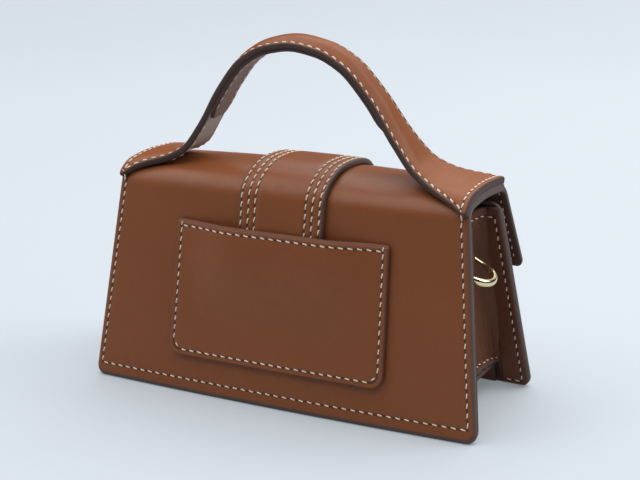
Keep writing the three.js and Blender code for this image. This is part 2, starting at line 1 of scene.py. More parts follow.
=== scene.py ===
import bpy
import numpy as np
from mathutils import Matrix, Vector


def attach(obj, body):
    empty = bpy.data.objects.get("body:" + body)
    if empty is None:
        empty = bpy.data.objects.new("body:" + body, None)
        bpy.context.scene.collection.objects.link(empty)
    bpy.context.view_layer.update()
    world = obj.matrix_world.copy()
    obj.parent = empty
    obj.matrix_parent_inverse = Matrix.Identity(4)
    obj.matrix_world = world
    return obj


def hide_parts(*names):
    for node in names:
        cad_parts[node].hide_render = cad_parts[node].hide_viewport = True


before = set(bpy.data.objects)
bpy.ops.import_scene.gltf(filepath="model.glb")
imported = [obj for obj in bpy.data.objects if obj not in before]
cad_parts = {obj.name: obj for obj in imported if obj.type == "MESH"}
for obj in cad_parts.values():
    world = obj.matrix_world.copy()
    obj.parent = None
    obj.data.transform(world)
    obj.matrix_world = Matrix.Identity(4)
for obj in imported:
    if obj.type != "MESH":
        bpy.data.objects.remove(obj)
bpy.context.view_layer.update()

# Body shell
# One sheet of firm tan leather is the back wall, the roof and the flap, bent over a stiff board.
# Its cut edges are rounded and painted dark, and a row of cream thread runs round it.
# Sizes are in millimetres until a mesh is made.

CENTRE_SHIFT = 1.35
BOTTOM_WIDTH = 180.0
TOP_WIDTH = 160.0
TOP_HEIGHT = 89.0
BOTTOM_DEPTH = 34.9
BACK_SLOPE = (BOTTOM_DEPTH - 20.6) / TOP_HEIGHT
FRONT_SLOPE = (BOTTOM_DEPTH - 16.6) / TOP_HEIGHT
WALL_BELLY = 1.9
BELLY_HEIGHT = 84.0
WALL_CORNER = 5.0
FLAP_CORNER = 3.0
ROOF_BOW = 3.2
ROOF_BOW_CENTRE = -4.0
ROOF_BOW_REACH = 22.0
SHELL_LEATHER = 3.2
SHELL_ROUND = 2.0
SHARP_ROUND = 0.12
INNER_ROUND = 0.15
GROOVE_DEPTH = 0.22
FINE_GROOVE = 0.15
FAR_FROM_SEAMS = 99.0
SHELL_SEAM = 3.0
BOTTOM_SEAM = 6.0
BOTTOM_PAINT = 1.3
FLAP_SEAM = 3.9
FLAP_END = (-37.0, 53.6)
CROWN_HEIGHT = 93.8
ROOF_CORNERS = [(20.1, 91.9, 9.0), (1.0, CROWN_HEIGHT, 108.0), (-23.2, 91.7, 8.0)]
LEATHER_GAP = 0.02
HANDLE_LINE = 1.9
FOOT_BACK = 21.5
FOOT_FRONT = 24.5


def half_width(z):
    """Half the width of the walls: it falls evenly with height."""
    return (BOTTOM_WIDTH + (TOP_WIDTH - BOTTOM_WIDTH) * z / TOP_HEIGHT) / 2


def belly(x, z):
    """How far a wall bows out: a parabola along it that dies out evenly with height."""
    across = np.clip(1 - (x / half_width(z)) ** 2, 0, None)
    return WALL_BELLY * across * np.clip(1 - z / BELLY_HEIGHT, 0, None)


def roof_bow(x, y):
    """How far the roof rises: a parabola along it times an eased one across it."""
    lengthwise = np.clip(1 - (x / half_width(TOP_HEIGHT)) ** 2, 0, None)
    across = np.clip(1 - ((y - ROOF_BOW_CENTRE) / ROOF_BOW_REACH) ** 2, 0, None)
    return ROOF_BOW * lengthwise * across**2 * (3 - 2 * across)


def rounded_path(corners, closed=False):
    """Points, right-hand normals and lengths along straight runs whose corners are arcs."""
    spots = np.array([corner[:2] for corner in corners], float)
    count = len(spots)
    points, normals = [], []
    for i in range(count) if closed else range(1, count - 1):
        into = spots[i] - spots[i - 1]
        into = into / np.hypot(*into)
        leaving = spots[(i + 1) % count] - spots[i]
        leaving = leaving / np.hypot(*leaving)
        turn = np.arctan2(into[0] * leaving[1] - into[1] * leaving[0], into @ leaving)
        radius = corners[i][2]
        arc = np.linspace(0, turn, 24)
        direction = np.stack([np.cos(arc) * into[0] - np.sin(arc) * into[1],
                              np.sin(arc) * into[0] + np.cos(arc) * into[1]], -1)
        normal = np.stack([direction[:, 1], -direction[:, 0]], -1)
        start = spots[i] - into * radius * np.tan(abs(turn) / 2)
        centre = start + np.sign(turn) * radius * np.array([-into[1], into[0]])
        points.append(centre + np.sign(turn) * radius * normal)
        normals.append(normal)
    if closed:
        points.append(points[0][:1])
        normals.append(normals[0][:1])
    else:
        points = [spots[:1], *points, spots[-1:]]
        normals = [normals[0][:1], *normals, normals[-1][-1:]]
    points, normals = np.concatenate(points), np.concatenate(normals)
    steps = np.hypot(*np.diff(points, axis=0).T)
    return points, normals, np.concatenate([[0], np.cumsum(steps)])


def along(path, s):
    """The point and unit normal at a length along a path."""
    points, normals, lengths = path
    y, z = (np.interp(s, lengths, points[:, k]) for k in range(2))
    across, up = (np.interp(s, lengths, normals[:, k]) for k in range(2))
    size = np.hypot(across, up)
    return y, z, across / size, up / size


SHELL_PATH = rounded_path([(BOTTOM_DEPTH, 0.0), *ROOF_CORNERS, FLAP_END])
SHELL_LENGTH = SHELL_PATH[2][-1]
handle_length = np.interp(-HANDLE_LINE, -SHELL_PATH[0][:, 0], SHELL_PATH[2])


def on_shell(x, s, out):
    """A point at a distance outside the shell: its profile at length s, pushed along its normal,
    with the belly of the back wall and the bow of the roof added."""
    y, z, across, up = along(SHELL_PATH, s)
    bulge = np.where(y > 0, belly(x, z), 0)
    height = np.maximum(z + up * out + roof_bow(x, y), 0)
    return np.stack(np.broadcast_arrays(x, y + across * out + bulge, height), -1)


def corner_inset(distance, radius):
    """How far a rounded corner draws an edge in: a quarter circle that ends at its radius."""
    d = np.clip(distance, 0, radius)
    return radius - np.sqrt(radius**2 - (radius - d) ** 2)


def ease(at, low, high):
    """Nothing below low, one above high, eased between them."""
    t = np.clip((at - low) / (high - low), 0, 1)
    return t * t * (3 - 2 * t)


def edge_steps(rim, seams):
    """Distances from an edge, close together over its rounding and across each sewn line."""
    turn = rim * (1 - np.cos(np.linspace(0, np.pi / 2, 6)))
    near = (np.array(seams)[:, None] + np.linspace(-1.2, 1.2, 7)).ravel()
    return np.unique(np.concatenate([turn, near[near > rim + 0.05]]).round(3))


def seam_distance(side, start, end, rim, seams):
    """Distance from the nearest sewn line. A seam is its distances from the sides, the start and the end
    of a sheet: alike all round it follows the rim, and otherwise it is a rectangle."""
    ways = [np.full(np.shape(rim), FAR_FROM_SEAMS)]
    for seam in seams:
        gaps = np.stack([way - line for way, line in zip((side, start, end), seam)])
        outside = np.linalg.norm(np.minimum(gaps, 0), axis=0)
        box = np.where(gaps.min(0) > 0, gaps.min(0), outside)
        ways.append(np.abs(rim - seam[0]) if len(set(seam)) == 1 else box)
    return np.minimum.reduce(ways)


def cut_sheet(half_at, length, corners, rim, seams, columns, rows):
    """A sheet's plan: places across and along it, and how far each is from its rim and from its seams.
    The sides follow half_at, and each end has rounded corners."""
    sides = edge_steps(rim, [seam[0] for seam in seams])
    ends = []
    for k, radius in enumerate(corners):
        lines = [seam[k + 1] for seam in seams if seam[k + 1] > 0]
        ends.append(np.unique(np.concatenate([edge_steps(rim, lines), np.linspace(0, radius, 7)])))
    middle = np.linspace(ends[0][-1], length - ends[1][-1], rows)[1:-1]
    s = np.concatenate([ends[0], middle, length - ends[1][::-1]])
    inset = corner_inset(s, corners[0]) + corner_inset(length - s, corners[1])
    half = (half_at(s) - inset)[:, None]
    middle = (half - sides[-1]) * np.linspace(-1, 1, columns)[None, 1:-1]
    x = np.concatenate([sides - half, middle, half - sides[::-1]], 1)
    s = np.broadcast_to(s[:, None], x.shape)
    side = half_at(s) - np.abs(x)
    distance = side
    for end, radius in zip((s, length - s), corners):
        round_off = radius - np.hypot(radius - side, radius - end)
        distance = np.minimum(distance, np.where((side < radius) & (end < radius), round_off, end))
    distance = np.clip(distance, 0, None)
    return x, s, distance, seam_distance(side, s, length - s, distance, seams)


def pressed(sewn, depth=GROOVE_DEPTH, width=0.75):
    """Depth of the lines that thread pulls into leather: a narrow bell across each sewn line."""
    return depth * np.exp(-((sewn / width) ** 2))


def finished_mesh(name, points, faces):
    """A smooth mesh in metres, its faces turned outwards by the sign of its volume."""
    points = (np.asarray(points).reshape(-1, 3) + [0, CENTRE_SHIFT, 0]) * 0.001
    a, b, c = (points[np.array([face[k] for face in faces])] for k in (0, 1, 2))
    d = points[np.array([face[-1] for face in faces])]
    volume = np.einsum("ij,ij", a, np.cross(b, c)) + np.einsum("ij,ij", a, np.cross(c, d))
    mesh = bpy.data.meshes.new(name)
    mesh.from_pydata(points.tolist(), [], [face if volume > 0 else face[::-1] for face in faces])
    mesh.polygons.foreach_set("use_smooth", np.ones(len(mesh.polygons), bool))
    return mesh


def new_piece(name, mesh, material, body, stands_for=()):
    """An object for a mesh, with its finish, the body that it rides on and the nodes that it stands for."""
    piece = bpy.data.objects.new(name, mesh)
    bpy.context.scene.collection.objects.link(piece)
    mesh.materials.append(material)
    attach(piece, body)
    if stands_for:
        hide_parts(*stands_for)
    return piece


def grid_faces(rows, columns, wrap=((0, 0), (0, 0))):
    """Quads of a grid whose points are numbered row by row. It closes on itself where it wraps."""
    number = np.pad(np.arange(rows * columns).reshape(rows, columns), wrap, "wrap")
    quads = [number[:-1, :-1], number[1:, :-1], number[1:, 1:], number[:-1, 1:]]
    return np.stack(quads, -1).reshape(-1, 4)


def leather_mesh(name, outer, inner, distance, sewn):
    """A sheet of leather: an outer and an inner grid joined round their rim. Each point keeps for the
    finish its distance from the rim and from the nearest sewn line, and whether it is inside."""
    rows, columns = distance.shape
    number = np.arange(rows * columns).reshape(rows, columns)
    rim = np.concatenate([number[0, :-1], number[:-1, -1], number[-1, :0:-1], number[:0:-1, 0]])
    after = np.roll(rim, -1)
    under = rows * columns
    band = np.stack([rim, after, after + under, rim + under], -1)
    top = grid_faces(rows, columns)
    faces = np.concatenate([top, top[:, ::-1] + under, band])
    mesh = finished_mesh(name, np.stack([outer, inner]), faces.tolist())
    kept = {"rim": [distance, distance], "sewn": [sewn, sewn], "inside": [0 * distance, 0 * distance + 1]}
    for attribute, values in kept.items():
        layer = mesh.attributes.new(attribute, "FLOAT", "POINT")
        layer.data.foreach_set("value", np.stack(values).ravel().astype(np.float32))
    return mesh


def rounded_leather(name, skin, distance, sewn, thickness, rounds, depth=GROOVE_DEPTH, wider_paint=0.0):
    """A sheet whose outer and inner edges are rounded and whose sewn lines are pressed in. Its edge paint
    reaches further in by the wider paint."""
    outer = skin(-corner_inset(distance, rounds[0]) - pressed(sewn, depth))
    inner = skin(-thickness + corner_inset(distance, rounds[1]))
    return leather_mesh(name, outer, inner, distance - wider_paint, sewn)


class Value:
    """A node's output. Sums of values, or of values and numbers, add Math nodes to its tree."""

    def __init__(self, tree, socket=None):
        self.tree = tree
        self.socket = socket

    def node(self, kind, settings=None, inputs=None, output=0):
        """Adds a node of any kind: its settings first, then the values or links of its sockets."""
        made = self.tree.nodes.new(kind)
        for key, value in (settings or {}).items():
            setattr(made, key, value)
        for key, value in (inputs or {}).items():
            if isinstance(value, Value):
                self.tree.links.new(value.socket, made.inputs[key])
            else:
                made.inputs[key].default_value = value
        return Value(self.tree, made.outputs[output] if made.outputs else None)

    def math(self, operation, *operands):
        return self.node("ShaderNodeMath", {"operation": operation}, dict(enumerate(operands)))

    def __add__(self, other):
        return self.math("ADD", self, other)

    def __radd__(self, other):
        return self.math("ADD", other, self)

    def __sub__(self, other):
        return self.math("SUBTRACT", self, other)

    def __rsub__(self, other):
        return self.math("SUBTRACT", other, self)

    def __mul__(self, other):
        return self.math("MULTIPLY", self, other)

    def fade(self, low, high):
        """One below low and nothing above high, eased between them."""
        settings = {"interpolation_type": "SMOOTHSTEP"}
        limits = {"Value": self, "From Min": low, "From Max": high, "To Min": 1.0, "To Max": 0.0}
        return self.node("ShaderNodeMapRange", settings, limits)

    def mix(self, colour, other):
        """A colour that turns into another as this value goes from 0 to 1."""
        ends = [(*end, 1) if isinstance(end, tuple) else end for end in (colour, other)]
        return self.node("ShaderNodeMix", {"data_type": "RGBA"}, {0: self, 6: ends[0], 7: ends[1]}, 2)


def new_finish(name):
    """An empty node material, with a value to build on and a function that fills its surface shader."""
    material = bpy.data.materials.new(name)
    material.use_nodes = True
    material.node_tree.nodes.clear()
    start = Value(material.node_tree)

    def fill(inputs):
        shader = start.node("ShaderNodeBsdfPrincipled", None, inputs)
        start.node("ShaderNodeOutputMaterial", None, {"Surface": shader})

    return material, start, fill


EDGE_PAINT = (0.094, 0.059, 0.05)
# Inside faces: brown leather, darkened as painted shade.
SHADED_LINING = (0.075, 0.036, 0.024)
TAN_TINTS = ((0.213, 0.06, 0.016), (0.283, 0.089, 0.028))


def leather_finish(name, tints, paint=(0.5, 1.3), grain=1.0, gloss=0.4, creases=0.0, inside_tint=SHADED_LINING,
                   edge=EDGE_PAINT, shine=0.35):
    """Smooth leather: two tints clouded together, fine cells of grain with creases, dark thread lines,
    painted edges near the rim and a matt colour inside, which carries painted shade, and on the handle a
    painted sheen."""
    material, start, fill = new_finish(name)
    place = start.node("ShaderNodeTexCoord", output=3)
    rim = start.node("ShaderNodeAttribute", {"attribute_name": "rim"}, output=2)
    inside = start.node("ShaderNodeAttribute", {"attribute_name": "inside"}, output=2)
    sewn = start.node("ShaderNodeAttribute", {"attribute_name": "sewn"}, output=2).fade(0.2, 0.6)
    clouds = start.node("ShaderNodeTexNoise", None, {"Vector": place, "Scale": 26.0, "Detail": 3.0})
    mottle = start.node("ShaderNodeTexNoise", None, {"Vector": place, "Scale": 260.0, "Detail": 4.0})
    cells = start.node("ShaderNodeTexVoronoi", {"feature": "SMOOTH_F1"}, {"Vector": place, "Scale": 1300.0})
    pores = start.node("ShaderNodeTexNoise", None, {"Vector": place, "Scale": 2600.0, "Detail": 2.0})
    wrinkled = {"Vector": place, "Scale": 95.0, "Detail": 5.0, "Distortion": 1.2}
    folds = start.node("ShaderNodeTexNoise", None, wrinkled)
    painted = rim.fade(*paint)
    cloud = clouds * 0.75 + mottle * 0.5 - 0.12
    tint = cloud.mix(*tints)
    worn = (mottle - 0.5) * 0.5 + (cells - 0.4) * 0.16 * grain
    tint = (worn + 0.22).mix(tint, tuple(0.62 * part for part in tints[0]))
    # The inside colour is darkened as painted shade, and on the handle it is pale partly as a painted
    # sheen.
    tint = (inside * (1 - painted)).mix(tint, inside_tint)
    tint = (sewn * 0.75).mix(tint, (0.03, 0.013, 0.008))
    tint = painted.mix(tint, edge)
    rough = gloss + (mottle - 0.5) * 0.16 + (pores - 0.5) * 0.08
    rough = rough + inside * (1 - painted) * 0.25 + painted * 0.16
    skin = (cells * -0.5 + pores * 0.3) * grain * (1 - painted)
    height = skin + mottle * 0.9 + folds * (1.5 + 9.0 * creases)
    bump = start.node("ShaderNodeBump", None, {"Strength": 0.55, "Distance": 0.00013, "Height": height})
    fill({"Base Color": tint, "Roughness": rough, "Normal": bump, "IOR": 1.47, "Specular IOR Level": shine})
    return material


def shell_round(s):
    """Rounding of the shell's edge: next to nothing under the handle's feet, which share its paint."""
    under = np.minimum(s - handle_length + FOOT_BACK, handle_length + FOOT_FRONT - s)
    return SHELL_ROUND - (SHELL_ROUND - SHARP_ROUND) * ease(under, 0, 3)


shell_leather = leather_finish("shell_leather", TAN_TINTS)
x, s, d, sewn = cut_sheet(
    lambda s: half_width(along(SHELL_PATH, s)[1]), SHELL_LENGTH, (WALL_CORNER, FLAP_CORNER),
    SHELL_ROUND, [(SHELL_SEAM, BOTTOM_SEAM, FLAP_SEAM)], 44, 120)
body_mesh = rounded_leather(
    "shell_sheet", lambda out: on_shell(x, s, out), d, sewn, SHELL_LEATHER, (shell_round(s), INNER_ROUND),
    wider_paint=BOTTOM_PAINT * (1 - ease(s, 2.5, 5)))
new_piece("shell_sheet", body_mesh, shell_leather, "bag", ["body_shell"])

# Thread
# Waxed cream thread in a saddle stitch, about four millimetres to a stitch.
# Each stitch stands a little proud of the leather and dips into its holes at both ends.

STITCH_PITCH = 3.9
STITCH_LENGTH = 2.8
THREAD_RADIUS = 0.32
STITCH_SLANT = 0.22
STITCH_TIP = (0.1, -0.5)
STITCH_DIP = 0.55
THREAD_RISE = -0.2
STITCH_RINGS = 7
STITCH_SIDES = 8


def thread_finish():
    """Waxed thread: cream with a little grey, twisted fibres across it."""
    material, start, fill = new_finish("cream_thread")
    place = start.node("ShaderNodeTexCoord", output=3)
    fibres = start.node("ShaderNodeTexNoise", None, {"Vector": place, "Scale": 2200.0, "Detail": 3.0})
    soil = start.node("ShaderNodeTexNoise", None, {"Vector": place, "Scale": 90.0, "Detail": 2.0})
    tint = (soil * 0.8 + fibres * 0.3 - 0.2).mix((0.68, 0.57, 0.45), (0.86, 0.77, 0.65))
    bump = start.node("ShaderNodeBump", None, {"Strength": 0.5, "Distance": 0.0001, "Height": fibres})
    fill({"Base Color": tint, "Roughness": 0.62 + (fibres - 0.5) * 0.2, "Normal": bump})
    return material


cream_thread = thread_finish()


def stitches(surface, route, pitch=STITCH_PITCH, length=STITCH_LENGTH):
    """Points of the stitches along a route of places on a surface. A stitch is a tube along the
    route, thinner at its ends, whose middle line sinks with the fourth power of the way to an end."""
    route = np.array(route, float)
    legs = [np.linspace(a, b, 120, endpoint=False) for a, b in zip(route[:-1], route[1:])]
    plan = np.concatenate([*legs, route[-1:]])
    path = surface(plan[:, 0], plan[:, 1], np.zeros(len(plan)))
    run = np.concatenate([[0], np.cumsum(np.linalg.norm(np.diff(path, axis=0), axis=1))])
    count = max(1, round(run[-1] / pitch))
    centre = (np.arange(count) + 0.5) / count * run[-1]

    def at(lengths, table):
        return np.stack([np.interp(lengths, run, column) for column in table.T], -1)

    tangent = at(centre + 0.4, path) - at(centre - 0.4, path)
    tangent /= np.linalg.norm(tangent, axis=1, keepdims=True)
    spot = at(centre, plan).T
    normal = surface(*spot, np.ones(count)) - surface(*spot, np.zeros(count))
    normal -= tangent * np.sum(normal * tangent, 1, keepdims=True)
    normal /= np.linalg.norm(normal, axis=1, keepdims=True)
    side = np.cross(tangent, normal)
    step = np.linspace(-1, 1, STITCH_RINGS)[:, None]
    turn = np.linspace(0, 2 * np.pi, STITCH_SIDES, endpoint=False)[None]
    radius = THREAD_RADIUS * np.sqrt(1 - 0.8 * step**6)
    ahead = step * length / 2 + 0 * turn
    aside = STITCH_SLANT * step + radius * np.cos(turn)
    above = THREAD_RISE - STITCH_DIP * step**4 + radius * np.sin(turn)
    tip = length / 2 + STITCH_TIP[0]
    tips = np.array([[-tip, -STITCH_SLANT, STITCH_TIP[1]], [tip, STITCH_SLANT, STITCH_TIP[1]]])
    shape = np.concatenate([np.stack([ahead, aside, above], -1).reshape(-1, 3), tips])
    axes = np.stack([tangent, side, normal], 1)
    return at(centre, path)[:, None] + np.einsum("kc,ncj->nkj", shape, axes)


def stitch_faces(count):
    """Faces of a number of stitches: a tube of quads each, closed by a fan at both ends."""
    ring = np.arange(STITCH_SIDES)
    low = (np.arange(STITCH_RINGS - 1) * STITCH_SIDES)[:, None]
    after = (ring + 1) % STITCH_SIDES
    walls = np.stack([low + ring, low + after, low + after + STITCH_SIDES, low + ring + STITCH_SIDES], -1)
    last = (STITCH_RINGS - 1) * STITCH_SIDES
    tip = np.full(STITCH_SIDES, STITCH_RINGS * STITCH_SIDES)
    ends = [tip, after, ring], [tip + 1, last + ring, last + after]
    fans = np.concatenate([np.stack(end, -1) for end in ends])
    start = (np.arange(count) * (STITCH_RINGS * STITCH_SIDES + 2))[:, None, None]
    return (start + walls.reshape(-1, 4)).reshape(-1, 4).tolist() + (start + fans).reshape(-1, 3).tolist()


def sew(name, rows, body="bag"):
    """One piece of thread for all the rows of a panel."""
    points = np.concatenate(rows)
    return new_piece(name, finished_mesh(name, points, stitch_faces(len(points))), cream_thread, body)


def shell_edge(side, s):
    """A place on the sewn line of the shell, at a length along its profile."""
    return side * (half_width(along(SHELL_PATH, s)[1]) - SHELL_SEAM), s


def inside_shell(x, s, out):
    """A point at a distance off the inner face of the shell."""
    return on_shell(x, s, -SHELL_LEATHER - np.asarray(out))


back_seam_top = handle_length - FOOT_BACK
flap_seam_top = handle_length + FOOT_FRONT
flap_row = SHELL_LENGTH - FLAP_SEAM
bottom_corners = [shell_edge(side, BOTTOM_SEAM) for side in (-1, 1)]
flap_corners = [shell_edge(side, flap_row) for side in (-1, 1)]
sew("shell_thread", [
    *(stitches(on_shell, [shell_edge(side, BOTTOM_SEAM), shell_edge(side, back_seam_top)])
      for side in (-1, 1)),
    stitches(on_shell, bottom_corners),
    *(stitches(face, [shell_edge(side, flap_seam_top), shell_edge(side, flap_row)])
      for side in (-1, 1) for face in (on_shell, inside_shell)),
    *(stitches(face, flap_corners) for face in (on_shell, inside_shell)),
])

# Front wall
# A firm panel behind the flap, cut like the back wall and sewn to the gussets along its sides.

FRONT_TOP = 85.0


def on_front(x, z, out):
    """A point at a distance outside the front wall, which leans back evenly and bows like the back."""
    y = BOTTOM_DEPTH - z * FRONT_SLOPE + belly(x, z) + out * np.hypot(1, FRONT_SLOPE)
    return np.stack(np.broadcast_arrays(x, -y, z), -1)


x, s, d, sewn = cut_sheet(
    half_width, FRONT_TOP, (WALL_CORNER, WALL_CORNER), SHELL_ROUND,
    [(SHELL_SEAM, BOTTOM_SEAM, SHELL_SEAM)], 40, 40)
front_mesh = rounded_leather(
    "front_wall", lambda out: on_front(x, s, out), d, sewn, SHELL_LEATHER, (SHELL_ROUND, INNER_ROUND))
new_piece("front_wall", front_mesh, shell_leather, "bag", ["front_panel"])


def front_edge(side, z):
    return side * (half_width(z) - SHELL_SEAM), z


def inside_front(x, z, out):
    """A point at a distance off the inner face of the front wall."""
    return on_front(x, z, -SHELL_LEATHER - np.asarray(out))


front_row = FRONT_TOP - SHELL_SEAM
sew("front_thread", [
    *(stitches(on_front, [front_edge(side, BOTTOM_SEAM), front_edge(side, front_row)]) for side in (-1, 1)),
    *(stitches(on_front, [front_edge(-1, z), front_edge(1, z)]) for z in (BOTTOM_SEAM, front_row)),
    stitches(inside_front, [front_edge(-1, front_row), front_edge(1, front_row)]),
])

# Gussets
# A softer leather folded in between the walls. Its flanges are sewn flat to them down to the floor,
# and the bottom of the fold is turned out into a lip over the base. The slack gathers above the lip.

GUSSET_TOP = 83.0
GUSSET_BOTTOM = 0.8
GUSSET_EDGE = 0.05
GUSSET_LEATHER = 2.0
GUSSET_ROUNDS = (1.2, SHARP_ROUND)
GUSSET_SEAM = 2.8
GUSSET_TOP_SEAM = 3.6
FLANGE_LOW_SEAM = 2.2
LIP_SEAM = 2.4
LIP_REACH = 3.4
LIP_STEP = 2.3
LIP_CLIMB = 0.09
FOLD_HEIGHTS = [0.0, 14.0, 30.0, 62.0, 83.0]
FOLD_DEPTHS = [15.0, 15.2, 15.6, 16.2, 9.4]
FLANGE_WIDTHS = [11.5, 11.3, 9.0, 7.0, 6.0]
GATHER_HEIGHT = 16.0
GATHER_DEPTH = 0.3
BASE_FLANGE = 8.0
BASE_HEIGHT = 12.4
GRID_HEIGHT = 72.0
GRID_MIDDLE = (6.0, 66.0)
FOLD_MIDDLE = SHELL_LEATHER + LEATHER_GAP + GUSSET_LEATHER / 2
# The tan leather darkened as painted shade, for the gussets, base and tabs that lie in shade between and
# under the walls.
SHADED_TINTS = ((0.118, 0.041, 0.02), (0.185, 0.069, 0.036))


def smooth_lookup(at, places, values):
    """A cubic through a table that doesn't overshoot between its rows."""
    places, values = np.array(places, float), np.array(values, float)
    slope = np.diff(values) / np.diff(places)
    product, total = slope[:-1] * slope[1:], slope[:-1] + slope[1:]
    inner = np.where(product > 0, 2 * product / np.where(product > 0, total, 1), 0)
    tangent = np.concatenate([[0], inner, [0]])
    at = np.clip(at, places[0], places[-1])
    i = np.clip(np.searchsorted(places, at, side="right") - 1, 0, len(places) - 2)
    span = places[i + 1] - places[i]
    t = (at - places[i]) / span
    rise = values[i + 1] - values[i]
    lean = 3 * rise / span - 2 * tangent[i] - tangent[i + 1]
    bend = tangent[i] + tangent[i + 1] - 2 * rise / span
    return values[i] + span * t * (tangent[i] + t * (lean + t * bend))


def back_layer(x, z):
    """Y of the middle of a layer of leather against the inside of the back wall."""
    return BOTTOM_DEPTH - z * BACK_SLOPE + belly(x, z) - FOLD_MIDDLE * np.hypot(1, BACK_SLOPE)


def between_walls(x, z, theta):
    """Y on a half turn from the back wall's flange to the front wall's."""
    back, front = back_layer(x, z), on_front(x, z, -FOLD_MIDDLE)[..., 1]
    return (back + front) / 2 + (back - front) / 2 * np.cos(theta)


def lower_edge(q):
    """Height of a gusset's lower edge: low on the flanges, and over the base on the fold."""
    lip = BASE_FLANGE + (BASE_HEIGHT - BASE_FLANGE) * np.sin(np.pi * np.clip(q, 0, 1)) + LIP_STEP
    return GUSSET_BOTTOM + (lip - GUSSET_BOTTOM) * ease(np.minimum(q, 1 - q), 0, LIP_CLIMB)


def gusset_depth(q, z, above):
    """How far a gusset lies in from the ends of the walls: none at its edges, the flange's width where
    the fold begins, and the fold's own depth half way, less the turned lip and the gathers."""
    theta = np.pi * np.clip(q, 0, 1)
    bow = np.sin(theta)
    flange = smooth_lookup(z, FOLD_HEIGHTS, FLANGE_WIDTHS)
    fold = smooth_lookup(z, FOLD_HEIGHTS, FOLD_DEPTHS)
    waves = np.sin(23 * theta + 0.11 * z) + 0.7 * np.sin(37 * theta - 0.17 * z + 1.3)
    gathers = GATHER_DEPTH * waves * bow * np.exp(-(((above - 5) / GATHER_HEIGHT) ** 2))
    folded = flange + (fold - flange - corner_inset(above, LIP_REACH) + gathers) * bow
    strip = np.clip(np.maximum(-q, q - 1), 0, 1)
    return folded + (corner_inset(z, WALL_CORNER) - folded) * strip


def gusset_middle(side):
    """The middle of a gusset's leather: q below 0 and above 1 is a flange along a wall, and between
    them a half turn from wall to wall; h is the share of the way up from its lower edge."""
    def middle(q, h):
        low = lower_edge(q)
        above = h * (GUSSET_TOP - low)
        z = low + above
        x = half_width(z) - GUSSET_EDGE - gusset_depth(q, z, above)
        y = between_walls(x, z, np.pi * np.clip(q, 0, 1))
        return np.stack(np.broadcast_arrays(side * x, y, z), -1)
    return middle


def offset_surface(middle, sign, step=(0.001, 0.001)):
    """A surface at a distance from another: the middle plus its normal, from small steps both ways."""
    def surface(u, v, out):
        du = middle(u + step[0], v) - middle(u - step[0], v)
        dv = middle(u, v + step[1]) - middle(u, v - step[1])
        normal = np.cross(du, dv)
        normal *= sign / np.linalg.norm(normal, axis=-1, keepdims=True)
        return middle(u, v) + normal * np.asarray(out)[..., None]
    return surface


def flange_place(in_from_edge, z, wall):
    """The place on a flange at a distance in from its edge and a height. The wall is 0 for the back
    and 1 for the front."""
    flange, edge = smooth_lookup(z, FOLD_HEIGHTS, FLANGE_WIDTHS), corner_inset(z, WALL_CORNER)
    strip = 1 - in_from_edge / (flange - edge)
    return (1 + strip if wall else -strip), (z - GUSSET_BOTTOM) / (GUSSET_TOP - GUSSET_BOTTOM)


def fold_place(q, z):
    return q, (z - lower_edge(q)) / (GUSSET_TOP - lower_edge(q))


# Gusset leather: the tan darkened as painted shade.
gusset_leather = leather_finish("gusset_leather", SHADED_TINTS, (0.3, 1.0), 1.6, 0.5, 0.6, shine=0.18)
flange = np.linspace(-1, 0, 24)
turn = np.concatenate([np.linspace(0, 0.1, 12), np.linspace(0.1, 0.9, 110)[1:-1], np.linspace(0.9, 1, 12)])
q = np.concatenate([flange[:-1], turn, 1 - flange[-2::-1]])
low = edge_steps(GUSSET_ROUNDS[0], [FLANGE_LOW_SEAM, LIP_SEAM])
high = edge_steps(GUSSET_ROUNDS[0], [GUSSET_TOP_SEAM])
rise = np.concatenate([low, np.linspace(*GRID_MIDDLE, 60), GRID_HEIGHT - high[::-1]]) / GRID_HEIGHT
h, q = np.meshgrid(rise, q, indexing="ij")
above = h * (GUSSET_TOP - lower_edge(q))
below = (1 - h) * (GUSSET_TOP - lower_edge(q))
z = GUSSET_TOP - below
turned = np.clip(above / LIP_REACH, 0, 1)
on_fold = (q > 0) & (q < 1)
lip_run = np.where(on_fold, LIP_REACH * (np.arccos(1 - turned) - turned), 0) + above
inward = gusset_depth(q, z, above) - corner_inset(z, WALL_CORNER) + np.where(on_fold, 5, 0)
d = np.minimum(np.clip(inward, 0, None), np.minimum(lip_run, below))
flange_gap = seam_distance(inward, above, below, d, [(GUSSET_SEAM, FLANGE_LOW_SEAM, GUSSET_TOP_SEAM)])
fold_gap = np.minimum(np.abs(lip_run - LIP_SEAM), np.abs(below - GUSSET_TOP_SEAM))
sewn = np.where(on_fold, fold_gap, flange_gap)
